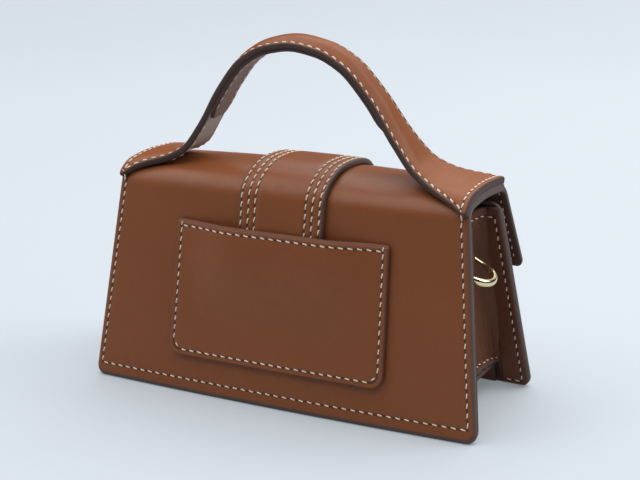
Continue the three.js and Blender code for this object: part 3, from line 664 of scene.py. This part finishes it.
for name, side in (("left", -1), ("right", 1)):
    surface = offset_surface(gusset_middle(side), -side)
    half = GUSSET_LEATHER / 2
    outer = surface(q, h, half - corner_inset(d, GUSSET_ROUNDS[0]) - pressed(sewn, FINE_GROOVE))
    inner = surface(q, h, -half + corner_inset(d, GUSSET_ROUNDS[1]))
    mesh = leather_mesh(f"gusset_fold_{name}", outer, inner, d, sewn)
    new_piece(f"gusset_fold_{name}", mesh, gusset_leather, "bag", [f"gusset_{name}"])
    on_gusset = lambda q, h, out, surface=surface: surface(q, h, out + half)
    seam_top, seam_low = GUSSET_TOP - GUSSET_TOP_SEAM, GUSSET_BOTTOM + FLANGE_LOW_SEAM
    across = np.linspace(0.12, 0.88, 16)
    rows = []
    for wall in (0, 1):
        up_the_wall = [flange_place(GUSSET_SEAM, z, wall) for z in np.linspace(seam_low, seam_top, 24)]
        rows.append(stitches(on_gusset, up_the_wall))
        along_the_floor = [flange_place(way, seam_low, wall) for way in (GUSSET_SEAM, FLANGE_WIDTHS[0] - 1)]
        rows.append(stitches(on_gusset, along_the_floor))
    over_the_fold = [fold_place(q, seam_top) for q in across]
    ends = [flange_place(GUSSET_SEAM, seam_top, wall) for wall in (0, 1)]
    rows.append(stitches(on_gusset, [ends[0], *over_the_fold, ends[1]]))
    lip_row = LIP_REACH * (1 - np.cos(LIP_SEAM / LIP_REACH))
    rows.append(stitches(on_gusset, [fold_place(q, lower_edge(q) + lip_row) for q in across]))
    sew(f"gusset_thread_{name}", rows)

# Base
# The floor of the bag, raised between the walls, with its long edges turned down and sewn to them.

BASE_EDGE = 0.4
BASE_FLANGE_REACH = 74.2
BASE_ROUNDS = (0.8, 0.8)


def base_middle(u, q):
    """The middle of the base's leather: u runs from end to end, q below 0 and above 1 is a flange
    turned down along a wall, and between them a low half turn."""
    theta = np.pi * np.clip(q, 0, 1)
    bow = np.sin(theta)
    flange = np.clip(np.maximum(-q, q - 1), 0, 1)
    fold = smooth_lookup(BASE_HEIGHT, FOLD_HEIGHTS, FOLD_DEPTHS)
    lip = half_width(BASE_HEIGHT) - GUSSET_EDGE - fold + LIP_REACH
    x = u * (BASE_FLANGE_REACH + (lip - BASE_FLANGE_REACH) * bow)
    wall = BASE_FLANGE + (BASE_EDGE - BASE_FLANGE) * flange
    z = wall + (BASE_HEIGHT - BASE_FLANGE) * bow
    return np.stack(np.broadcast_arrays(x, between_walls(x, wall, theta), z), -1)


u = np.concatenate([[-1, -0.998, -0.99], np.linspace(-0.97, 0.97, 40), [0.99, 0.998, 1]])
q = np.concatenate([[-1, -0.97, -0.9], np.linspace(-0.7, 1.7, 48), [1.9, 1.97, 2]])
u, q = np.meshgrid(u, q, indexing="ij")
d = np.minimum((1 - np.abs(u)) * BASE_FLANGE_REACH, BASE_FLANGE * np.where(
    (q < 0) | (q > 1), 1 - np.maximum(-q, q - 1), 1 + 6 * np.minimum(q, 1 - q)))
base_surface = offset_surface(base_middle, -1)
half = GUSSET_LEATHER / 2
outer = base_surface(u, q, -half + corner_inset(d, BASE_ROUNDS[0]))
inner = base_surface(u, q, half - corner_inset(d, BASE_ROUNDS[1]))
# Base leather: the tan darkened as painted shade.
base_leather = leather_finish("base_leather", SHADED_TINTS, (0.3, 0.8), 1.3, 0.5, 0.4, shine=0.18)
base_mesh = leather_mesh("base_floor", outer, inner, d, seam_distance(d, d, d, d, []))
new_piece("base_floor", base_mesh, base_leather, "bag", ["base_panel"])

# Slip pocket
# A patch of the same leather sewn on the back along its sides and bottom.
# Its mouth stands open a little over the strap, and thread wraps its top corners.

POCKET_BOTTOM = 16.6
POCKET_HEIGHT = 57.3
POCKET_HALF_TOP = 49.0
POCKET_HALF_BOTTOM = 50.5
POCKET_CORNERS = (6.0, 1.2)
POCKET_LEATHER = 2.2
POCKET_ROUNDS = (1.0, 1.0)
POCKET_SEAM = 2.5
CORNER_STITCH = 2.4
POCKET_MOUTH = 3.4
POCKET_MOUTH_START = 28.0
STRAP_HALF = 19.7
STRAP_START = 64.0


def on_pocket(x, s, out):
    """A point at a distance outside the pocket: the back wall, plus its own leather and the
    stand of its mouth, which is full over the strap and closes to its sides and bottom."""
    z = POCKET_BOTTOM + s
    mouth = POCKET_MOUTH * ease(z, POCKET_MOUTH_START, STRAP_START)
    mouth = mouth * (1 - ease(np.abs(x), STRAP_HALF + 2, POCKET_HALF_TOP - 4))
    lift = (LEATHER_GAP + POCKET_LEATHER + mouth + out) * np.hypot(1, BACK_SLOPE)
    y = BOTTOM_DEPTH - z * BACK_SLOPE + belly(x, z) + lift
    return np.stack(np.broadcast_arrays(x, y, z), -1)


def pocket_half(s):
    return POCKET_HALF_BOTTOM + (POCKET_HALF_TOP - POCKET_HALF_BOTTOM) * s / POCKET_HEIGHT


POCKET_PAINT = (0.13, 0.05, 0.03)
pocket_leather = leather_finish("pocket_leather", TAN_TINTS, (0.35, 0.9), edge=POCKET_PAINT)
x, s, d, sewn = cut_sheet(
    pocket_half, POCKET_HEIGHT, POCKET_CORNERS, POCKET_ROUNDS[0], [(POCKET_SEAM,) * 3], 40, 40)
pocket_mesh = rounded_leather(
    "slip_pocket", lambda out: on_pocket(x, s, out), d, sewn, POCKET_LEATHER, POCKET_ROUNDS)
new_piece("slip_pocket", pocket_mesh, pocket_leather, "bag", ["back_pocket"])


def pocket_edge(side, s):
    return side * (pocket_half(s) - POCKET_SEAM), s


pocket_top = POCKET_HEIGHT - POCKET_SEAM
round_start = POCKET_CORNERS[0]
pocket_rows = []
for side in (-1, 1):
    low, high = pocket_edge(side, round_start), pocket_edge(side, pocket_top)
    turn = side * (POCKET_HALF_BOTTOM - round_start), POCKET_SEAM
    pocket_rows.append(stitches(on_pocket, [low, high]))
    pocket_rows.append(stitches(on_pocket, [low, turn]))
    corner = pocket_edge(side, POCKET_HEIGHT - 0.4)
    pocket_rows.append(stitches(on_pocket, [high, corner], CORNER_STITCH, CORNER_STITCH))
low_row = POCKET_HALF_BOTTOM - round_start
pocket_rows.append(stitches(on_pocket, [(-low_row, POCKET_SEAM), (low_row, POCKET_SEAM)]))
pocket_rows.append(stitches(on_pocket, [pocket_edge(-1, pocket_top), pocket_edge(1, pocket_top)]))
sew("pocket_thread", pocket_rows)

# Centre strap
# A wide strap of doubled leather from inside the pocket, over the roof and down the flap,
# with three rows of thread along each side.

STRAP_LEATHER = 3.0
STRAP_ROUNDS = (1.4, 1.0)
STRAP_SEAMS = [1.7, 5.0, 8.1]
STRAP_STAGGER = 0.8
STRAP_GROOVE = 0.4
ROW_ENDS = (2.0, 2.2)
OPEN_END = -20.0
STRAP_END_GAP = 3.0
STRAP_CORNERS = (0.5, 5.0)
strap_from = np.hypot(STRAP_START, STRAP_START * BACK_SLOPE)
strap_length = SHELL_LENGTH - STRAP_END_GAP - strap_from


def on_strap(x, s, out):
    """A point at a distance outside the strap, which lies on the shell."""
    return on_shell(x, s + strap_from, out + LEATHER_GAP + STRAP_LEATHER)


strap_leather = leather_finish("strap_leather", TAN_TINTS, (0.45, 1.1))
x, s, d, sewn = cut_sheet(
    lambda s: STRAP_HALF + 0 * s, strap_length, STRAP_CORNERS, STRAP_ROUNDS[0],
    [(seam, OPEN_END, OPEN_END) for seam in STRAP_SEAMS], 16, 90)
strap_mesh = rounded_leather(
    "strap_band", lambda out: on_strap(x, s, out), d, sewn, STRAP_LEATHER, STRAP_ROUNDS, STRAP_GROOVE)
new_piece("strap_band", strap_mesh, strap_leather, "bag", ["centre_strap"])
strap_rows = []
for order, seam in enumerate(STRAP_SEAMS):
    for row in (seam - STRAP_HALF, STRAP_HALF - seam):
        start, end = ROW_ENDS[0] + STRAP_STAGGER * order, strap_length - ROW_ENDS[1]
        strap_rows.append(stitches(on_strap, [(row, start), (row, end)]))
sew("strap_thread", strap_rows)

# Handle
# A padded strap of leather that arches over the roof. Its wide feet lie on the ends of the roof,
# bend over both shoulders and are sewn down along every edge.

HANDLE_STATIONS = np.array([
    # place, lift, half width, shift to the flap, padding, leather
    (-79, 0, 22, 1.5, 0, 2.85),
    (-73, 0.4, 19.4, 1.4, 0, 3.05),
    (-64, 1.45, 15.6, 1.2, 0.2, 3.2),
    (-55, 5.05, 12.2, 1, 0.6, 3.1),
    (-46, 15.05, 9.8, 0.6, 1.2, 2.9),
    (-36, 30.05, 8.4, 0.2, 1.5, 2.8),
    (-24, 43.05, 8, 0, 1.5, 2.8),
    (-12, 48.85, 8, 0, 1.3, 2.8),
    (0, 50.65, 8, 0, 1.2, 2.8),
    (12, 48.85, 8, 0, 1, 2.8),
    (24, 42.85, 8, 0, 0.7, 2.8),
    (36, 29.65, 8, 0, 0.4, 2.8),
    (46, 14.45, 8.6, 0, 0.3, 2.9),
    (55, 4.15, 10.4, 0, 0.3, 3.1),
    (64, 0.95, 13.2, 0.2, 0.2, 3.2),
    (73, 0.3, 17.6, 0.8, 0, 3.05),
    (79, 0, 21.5, 1.2, 0, 2.85),
])
HANDLE_PLACES, HANDLE_LIFTS, HANDLE_HALVES = HANDLE_STATIONS.T[:3]
HANDLE_SHIFTS, HANDLE_PADS, HANDLE_LEATHERS = HANDLE_STATIONS.T[3:]
HANDLE_REACH = 79.5
HANDLE_LEAN = 0.05
HANDLE_GAP = 0.04
HANDLE_ROUND = 1.2
HANDLE_SEAM = 1.6
FOOT_SEAM = 2.4
FRONT_ROW_SINK = 0.16
PADDING_RISE = 5.0
HANDLE_CORNERS = (1.6, 1.6)


def handle_at(x, values):
    return smooth_lookup(x, HANDLE_PLACES, values)


def handle_top(x, a):
    """The top of the handle without its padding: the roof's own curve at a length a from the handle's
    line, lifted along the arch, which leans a little to the right."""
    s = handle_length + a
    point = on_shell(x, s, HANDLE_GAP + handle_at(x, HANDLE_LEATHERS))
    lift = handle_at(x, HANDLE_LIFTS)
    spread = half_width(along(SHELL_PATH, s)[1]) / half_width(CROWN_HEIGHT)
    x = point[..., 0] * spread + lift * HANDLE_LEAN
    return np.stack([x, point[..., 1], point[..., 2] + lift], -1)


handle_surface = offset_surface(handle_top, -1, (0.05, 0.05))


def padding(x, a):
    """Height of the padding: it rises from the sewn margins to a level top."""
    margin = handle_at(x, HANDLE_HALVES) - np.abs(a)
    return handle_at(x, HANDLE_PADS) * ease(margin, HANDLE_SEAM, HANDLE_SEAM + PADDING_RISE)


def on_handle(a, s, out):
    """A point at a distance above the handle's padded top, at a length s from its left end."""
    x = s - HANDLE_REACH
    return handle_surface(x, a + handle_at(x, HANDLE_SHIFTS), padding(x, a) + out)


def handle_half(s):
    return handle_at(s - HANDLE_REACH, HANDLE_HALVES)


HANDLE_PAINT = (0.065, 0.042, 0.036)
# The handle's underside: the pale flesh side of the leather, made paler as a painted sheen.
FLESH_SIDE_AND_SHEEN = (0.42, 0.38, 0.33)
handle_leather = leather_finish(
    "handle_leather", TAN_TINTS, (0.4, 1.0), 1.0, 0.4, 0.0, FLESH_SIDE_AND_SHEEN, HANDLE_PAINT, 0.2)
a, s, d, sewn = cut_sheet(
    handle_half, 2 * HANDLE_REACH, HANDLE_CORNERS, HANDLE_ROUND,
    [(HANDLE_SEAM, FOOT_SEAM, FOOT_SEAM)], 18, 170)
outer = on_handle(a, s, -corner_inset(d, HANDLE_ROUND) - pressed(sewn))
x = s - HANDLE_REACH
side_way = np.clip(handle_half(s) - np.abs(a), 0, None)
end_way = np.minimum(s, 2 * HANDLE_REACH - s)
free_round = np.where(end_way < side_way, SHARP_ROUND, HANDLE_ROUND)
below = corner_inset(d, free_round) - handle_at(x, HANDLE_LEATHERS)
inner = handle_surface(x, a + handle_at(x, HANDLE_SHIFTS), below)
handle_mesh = leather_mesh("handle_arch", outer, inner, d, sewn)
handle_piece = new_piece("handle_arch", handle_mesh, handle_leather, "bag", ["handle"])


def handle_edge(side, s):
    return side * (handle_half(s) - HANDLE_SEAM), s


def in_handle(a, s, out):
    """A point as on the handle, a little deeper in it, for the row of thread on the flap's side."""
    return on_handle(a, s, out - FRONT_ROW_SINK)


def bridge(start, end):
    """One long stitch from one point to another, over the edge between them."""
    reach = end - start
    lift = np.cross(np.cross(reach, [0, 0, 1]), reach)
    lift /= np.linalg.norm(lift)

    def line(t, _, out):
        return start + t[:, None] * reach + np.asarray(out)[:, None] * lift
    return stitches(line, [(0, 0), (1, 0)], 2 * np.linalg.norm(reach), np.linalg.norm(reach))


edge_route = np.linspace(FOOT_SEAM, 2 * HANDLE_REACH - FOOT_SEAM, 60)
corner_thread = []
for side, s in ((-1, edge_route[0]), (1, edge_route[-1])):
    for back, seam in ((-1, back_seam_top), (1, flap_seam_top)):
        foot = on_handle(*(np.array([place]) for place in handle_edge(back, s)), np.array([0.1]))[0]
        wall = on_shell(*(np.array([place]) for place in shell_edge(side, seam)), np.array([0.2]))[0]
        corner_thread.append(bridge(wall, foot))
sew("handle_thread", [
    *(stitches(face, [handle_edge(side, s) for s in edge_route])
      for side, face in ((-1, on_handle), (1, in_handle))),
    *(stitches(on_handle, [handle_edge(-1, s), handle_edge(1, s)]) for s in edge_route[[0, -1]]),
    *corner_thread,
])

# Under layer of the handle
# A second strip of leather under the arch, where a hand holds it, glued on and sewn with the top.

GRIP_REACH = 44.0
GRIP_LEATHER = 1.5
GRIP_ROUNDS = (0.3, 0.9)
GRIP_INSET = 0.5
GRIP_CORNERS = (5.0, 5.0)
GRIP_SEAM = 1.5
BARE_REACH = 17.0
LIMB_THREAD_RISE = 0.2


def grip_half(s):
    return handle_at(s - GRIP_REACH, HANDLE_HALVES) - GRIP_INSET


def under_handle(a, s, out):
    """A point at a distance below the bare underside of the handle."""
    x = s - GRIP_REACH
    below = handle_at(x, HANDLE_LEATHERS) + LEATHER_GAP + out
    return handle_surface(x, a + handle_at(x, HANDLE_SHIFTS), -below)


def under_grip(a, s, out):
    return under_handle(a, s, GRIP_LEATHER + out)


def under_limb(a, s, out):
    return under_handle(a, s, LIMB_THREAD_RISE + out)


# The handle's tan, darkened as painted shade under the arch.
SHADED_GRIP_TINTS = ((0.15, 0.045, 0.014), (0.21, 0.068, 0.024))
grip_leather = leather_finish("grip_leather", SHADED_GRIP_TINTS, (0.3, 0.8), 1.2, 0.5, edge=HANDLE_PAINT)
a, s, d, sewn = cut_sheet(
    grip_half, 2 * GRIP_REACH, GRIP_CORNERS, GRIP_ROUNDS[1], [(GRIP_SEAM, OPEN_END, OPEN_END)], 12, 90)
outer = under_handle(a, s, GRIP_LEATHER - corner_inset(d, GRIP_ROUNDS[1]) - pressed(sewn, FINE_GROOVE))
inner = under_handle(a, s, corner_inset(d, GRIP_ROUNDS[0]))
grip_mesh = leather_mesh("handle_under", outer, inner, d, sewn)
new_piece("handle_under", grip_mesh, grip_leather, "bag", ["handle_grip"])
grip_route = np.linspace(3.0, 2 * GRIP_REACH - 3.0, 40)
bare_routes = [np.linspace(-BARE_REACH, -1, 12), 2 * GRIP_REACH + np.linspace(1, BARE_REACH, 12)]
limb_seam = HANDLE_SEAM - GRIP_INSET
sew("grip_thread", [
    stitches(face, [(side * (grip_half(s) - seam), s) for s in route])
    for side in (-1, 1)
    for face, seam, route in (
        (under_grip, GRIP_SEAM, grip_route), *((under_limb, limb_seam, bare) for bare in bare_routes))
])

# Ring tabs
# A narrow strip of leather in the valley of each gusset, sewn flat above and below,
# whose middle is bent out into a loop round the bar of the ring.

RING_BAR = (71.0, 2.4, 63.8)
TAB_HALF = 5.0
TAB_LEATHER = 1.3
TAB_ROUNDS = (0.55, 0.55)
TAB_PATH = rounded_path([
    (0.7, -12.0), (0.7, -2.55, 0.8), (6.0, -2.55, 2.5), (6.0, 2.55, 2.5), (0.7, 2.55, 0.8), (0.7, 5.0)])
TAB_SEAM = 1.6
TAB_ROWS = (1.6, 6.6)
TAB_STITCH = (2.3, 1.8)


def valley_face(y, z):
    """How far the outside of a gusset is from the middle of the bag, at a place in its valley."""
    x = half_width(z) - GUSSET_EDGE - smooth_lookup(z, FOLD_HEIGHTS, FOLD_DEPTHS)
    back, front = back_layer(x, z), on_front(x, z, -FOLD_MIDDLE)[..., 1]
    q = np.arccos((2 * y - back - front) / (back - front)) / np.pi
    return half_width(z) - GUSSET_EDGE - gusset_depth(q, z, z - lower_edge(q)) + GUSSET_LEATHER / 2


def on_tab(side):
    """A strip bent along the tab's profile, which stands on the valley of a gusset."""
    def surface(y, s, out):
        away, up, across, rise = along(TAB_PATH, s)
        away, up = away - across * out, up - rise * out
        y, z = RING_BAR[1] + y, RING_BAR[2] + up
        return np.stack(np.broadcast_arrays(side * (valley_face(y, z) + away), y, z), -1)
    return surface


# Tab leather: the tan darkened as painted shade.
tab_leather = leather_finish("tab_leather", SHADED_TINTS, (0.2, 0.6), 1.2, 0.48)
tab_length = TAB_PATH[2][-1]
y, s, d, sewn = cut_sheet(lambda s: TAB_HALF + 0 * s, tab_length, (1.5, 1.5), TAB_ROUNDS[0], [], 9, 90)
for name, side in (("left", -1), ("right", 1)):
    surface = on_tab(side)
    outer = surface(y, s, TAB_LEATHER / 2 - corner_inset(d, TAB_ROUNDS[0]))
    inner = surface(y, s, -TAB_LEATHER / 2 + corner_inset(d, TAB_ROUNDS[1]))
    mesh = leather_mesh(f"tab_loop_{name}", outer, inner, d, sewn)
    new_piece(f"tab_loop_{name}", mesh, tab_leather, "bag", [f"ring_tab_{name}"])
    on_top = lambda y, s, out, surface=surface: surface(y, s, out + TAB_LEATHER / 2)
    sew(f"tab_thread_{name}", [
        stitches(on_top, [(TAB_SEAM - TAB_HALF, row), (TAB_HALF - TAB_SEAM, row)], *TAB_STITCH)
        for row in TAB_ROWS])

# D-rings
# Round brass wire bent into a D, its bar in the tab's loop, polished and plated pale gold.

RING_HALF_WIDTH = 8.6
RING_DEPTH = 14.1
RING_BAR_CORNER = 2.6
RING_BOW_CORNER = 8.5
RING_WIRE = 1.5
RING_REST = np.radians(28)
RING_SIDES = 20
RING_THIN = 0.64
RING_THICK = 1.12
RING_PATH = rounded_path([
    (0, -RING_HALF_WIDTH, RING_BAR_CORNER), (RING_DEPTH, -RING_HALF_WIDTH, RING_BOW_CORNER),
    (RING_DEPTH, RING_HALF_WIDTH, RING_BOW_CORNER), (0, RING_HALF_WIDTH, RING_BAR_CORNER)], True)


def brass_finish():
    """Pale gold plate on brass: polished, with fine drawn lines and faint smears."""
    material, start, fill = new_finish("pale_gold")
    place = start.node("ShaderNodeTexCoord", output=3)
    smears = start.node("ShaderNodeTexNoise", None, {"Vector": place, "Scale": 420.0, "Detail": 4.0})
    lines = start.node("ShaderNodeTexNoise", None, {"Vector": place, "Scale": 5200.0, "Detail": 2.0})
    tint = (smears * 1.3 - 0.2).mix((0.72, 0.58, 0.31), (0.86, 0.75, 0.5))
    bump = start.node("ShaderNodeBump", None, {"Strength": 0.15, "Distance": 0.00004, "Height": lines})
    fill({"Base Color": tint, "Roughness": 0.17 + (smears - 0.5) * 0.14, "Metallic": 1.0, "Normal": bump})
    return material


pale_gold = brass_finish()


def wire_ring(side):
    """Round wire carried along the ring's outline, in a plane that hangs below level from its bar.
    It is thinner at the sides than round the bow."""
    places = np.linspace(0, RING_PATH[2][-1], 150, endpoint=False)[:, None]
    turn = np.linspace(0, 2 * np.pi, RING_SIDES, endpoint=False)[None]
    reach, width, across, aside = along(RING_PATH, places)
    wire = RING_WIRE * (RING_THIN + (RING_THICK - RING_THIN) * ease(reach, RING_DEPTH - 10, RING_DEPTH - 2))
    reach = reach + across * wire * np.cos(turn)
    width = width + aside * wire * np.cos(turn)
    lift = wire * np.sin(turn)
    x = RING_BAR[0] + reach * np.cos(RING_REST) + lift * np.sin(RING_REST)
    z = RING_BAR[2] - reach * np.sin(RING_REST) + lift * np.cos(RING_REST)
    return np.stack([side * x, RING_BAR[1] + width, z], -1)


for name, side in (("left", -1), ("right", 1)):
    points = wire_ring(side)
    faces = grid_faces(*points.shape[:2], ((0, 1), (0, 1)))
    mesh = finished_mesh(f"ring_wire_{name}", points, faces.tolist())
    new_piece(f"ring_wire_{name}", mesh, pale_gold, f"ring_{name}", [f"d_ring_{name}"])

# Magnetic snap
# A plain plated disc on the front wall, hidden under the flap.

SNAP_RADIUS = 7.0
SNAP_HEIGHT = 61.0
SNAP_THICKNESS = 6.0
SNAP_PROFILE = rounded_path([
    (0.0, 0.3), (4.0, 0.3, 0.3), (4.3, 0.9, 0.3), (SNAP_RADIUS, 0.9, 0.8),
    (SNAP_RADIUS, SNAP_THICKNESS, 0.4), (0.0, SNAP_THICKNESS)])


def snap_disc():
    """A disc turned from its profile: a shallow dish in its face and a rounded rim."""
    places = np.linspace(0, SNAP_PROFILE[2][-1], 60)[1:-1, None]
    turn = np.linspace(0, 2 * np.pi, 48, endpoint=False)[None]
    radius, depth, _, _ = along(SNAP_PROFILE, places)
    x, z = radius * np.cos(turn), SNAP_HEIGHT + radius * np.sin(turn)
    return on_front(x, z, SNAP_THICKNESS + LEATHER_GAP - depth)


points = snap_disc()
rows, columns = points.shape[:2]
walls = grid_faces(rows, columns, ((0, 0), (0, 1)))
caps = [list(range(columns))[::-1], list(range((rows - 1) * columns, rows * columns))]
snap_mesh = finished_mesh("snap_disc", points, walls.tolist() + caps)
new_piece("snap_disc", snap_mesh, pale_gold, "bag", ["magnetic_snap"])

# Floor, light and camera
# A pale floor, a broad light above, softer ones from the sides and behind, and the photo's view.

FLOOR_REACH = 80.0
FLOOR_GLOW = (0.88, 0.97, 1.04)
FAR_GLOW = (3.2, 3.4, 3.55)
GLOW_FADE = (0.9, 3.0)


def floor_finish():
    """Pale matt card with a very faint clouding, lit evenly into the distance by its own glow."""
    material, start, fill = new_finish("pale_floor")
    place = start.node("ShaderNodeTexCoord", output=3)
    clouds = start.node("ShaderNodeTexNoise", None, {"Vector": place, "Scale": 3.0, "Detail": 2.0})
    tint = clouds.mix((0.345, 0.375, 0.41), (0.36, 0.39, 0.425))
    away = start.node("ShaderNodeVectorMath", {"operation": "LENGTH"}, {0: place}, 1)
    glow = away.fade(*GLOW_FADE).mix(FAR_GLOW, FLOOR_GLOW)
    fill({"Base Color": tint, "Roughness": 0.9, "Emission Color": glow, "Emission Strength": 0.2})
    return material


floor_mesh = bpy.data.meshes.new("pale_floor")
corners = [(x * FLOOR_REACH, y * FLOOR_REACH, 0) for x, y in ((-1, -1), (1, -1), (1, 1), (-1, 1))]
floor_mesh.from_pydata(corners, [], [(0, 1, 2, 3)])
floor_mesh.materials.append(floor_finish())
floor = bpy.data.objects.new("pale_floor", floor_mesh)
bpy.context.scene.collection.objects.link(floor)

ROOM_LIGHT = 0.02
ROOM_SEEN = 0.7
world = bpy.data.worlds.new("pale_room")
bpy.context.scene.world = world
world.use_nodes = True
background = world.node_tree.nodes["Background"]
background.inputs["Color"].default_value = (0.91, 0.96, 1.0, 1)
room = Value(world.node_tree)
strength = ROOM_LIGHT + room.node("ShaderNodeLightPath") * ROOM_SEEN
world.node_tree.links.new(strength.socket, background.inputs["Strength"])

LIGHTS = [
    {"name": "above", "place": (0.35, 0.0, 2.0), "size": 3.4, "watts": 88.0},
    {"name": "right", "place": (-1.0, -0.55, 1.05), "size": 0.9, "watts": 11.5},
    {"name": "behind", "place": (0.1, -1.1, 1.3), "size": 1.2, "watts": 5.0},
    {"name": "backdrop", "place": (-0.1, -1.7, 0.95), "size": 1.3, "watts": 3.0},
    {"name": "left", "place": (1.1, 0.9, 0.7), "size": 0.8, "watts": 1.8},
]
LIGHT_AIM = (0, 0, 0.05)
for light in LIGHTS:
    lamp = bpy.data.lights.new(light["name"], "AREA")
    lamp.size = light["size"]
    lamp.energy = light["watts"]
    holder = bpy.data.objects.new(light["name"], lamp)
    bpy.context.scene.collection.objects.link(holder)
    aim = np.subtract(LIGHT_AIM, light["place"])
    holder.location = light["place"]
    holder.rotation_mode = "QUATERNION"
    holder.rotation_quaternion = Vector(aim).to_track_quat("-Z", "Y")

VIEW_AZIMUTH = np.radians(207.3)
VIEW_ELEVATION = np.radians(16.86)
VIEW_ROLL = np.radians(-0.94)
VIEW_DISTANCE = 0.5942
VIEW_AIM = np.array([-0.00555, 0.00135, 0.06414])
VIEW_LENS = 79.06
out = np.array([
    np.sin(VIEW_AZIMUTH) * np.cos(VIEW_ELEVATION),
    -np.cos(VIEW_AZIMUTH) * np.cos(VIEW_ELEVATION),
    np.sin(VIEW_ELEVATION),
])
level = np.cross(-out, [0, 0, 1])
level /= np.linalg.norm(level)
upright = np.cross(level, -out)
right = np.cos(VIEW_ROLL) * level + np.sin(VIEW_ROLL) * upright
up = np.cos(VIEW_ROLL) * upright - np.sin(VIEW_ROLL) * level
camera_data = bpy.data.cameras.new("photo_view")
camera_data.lens = VIEW_LENS
camera_data.sensor_width = 36.0
camera = bpy.data.objects.new("photo_view", camera_data)
bpy.context.scene.collection.objects.link(camera)
stand = np.column_stack([right, up, out, VIEW_AIM + out * VIEW_DISTANCE])
camera.matrix_world = Matrix([*stand.tolist(), [0, 0, 0, 1]])
bpy.context.scene.camera = camera
bpy.context.scene.view_settings.view_transform = "Standard"
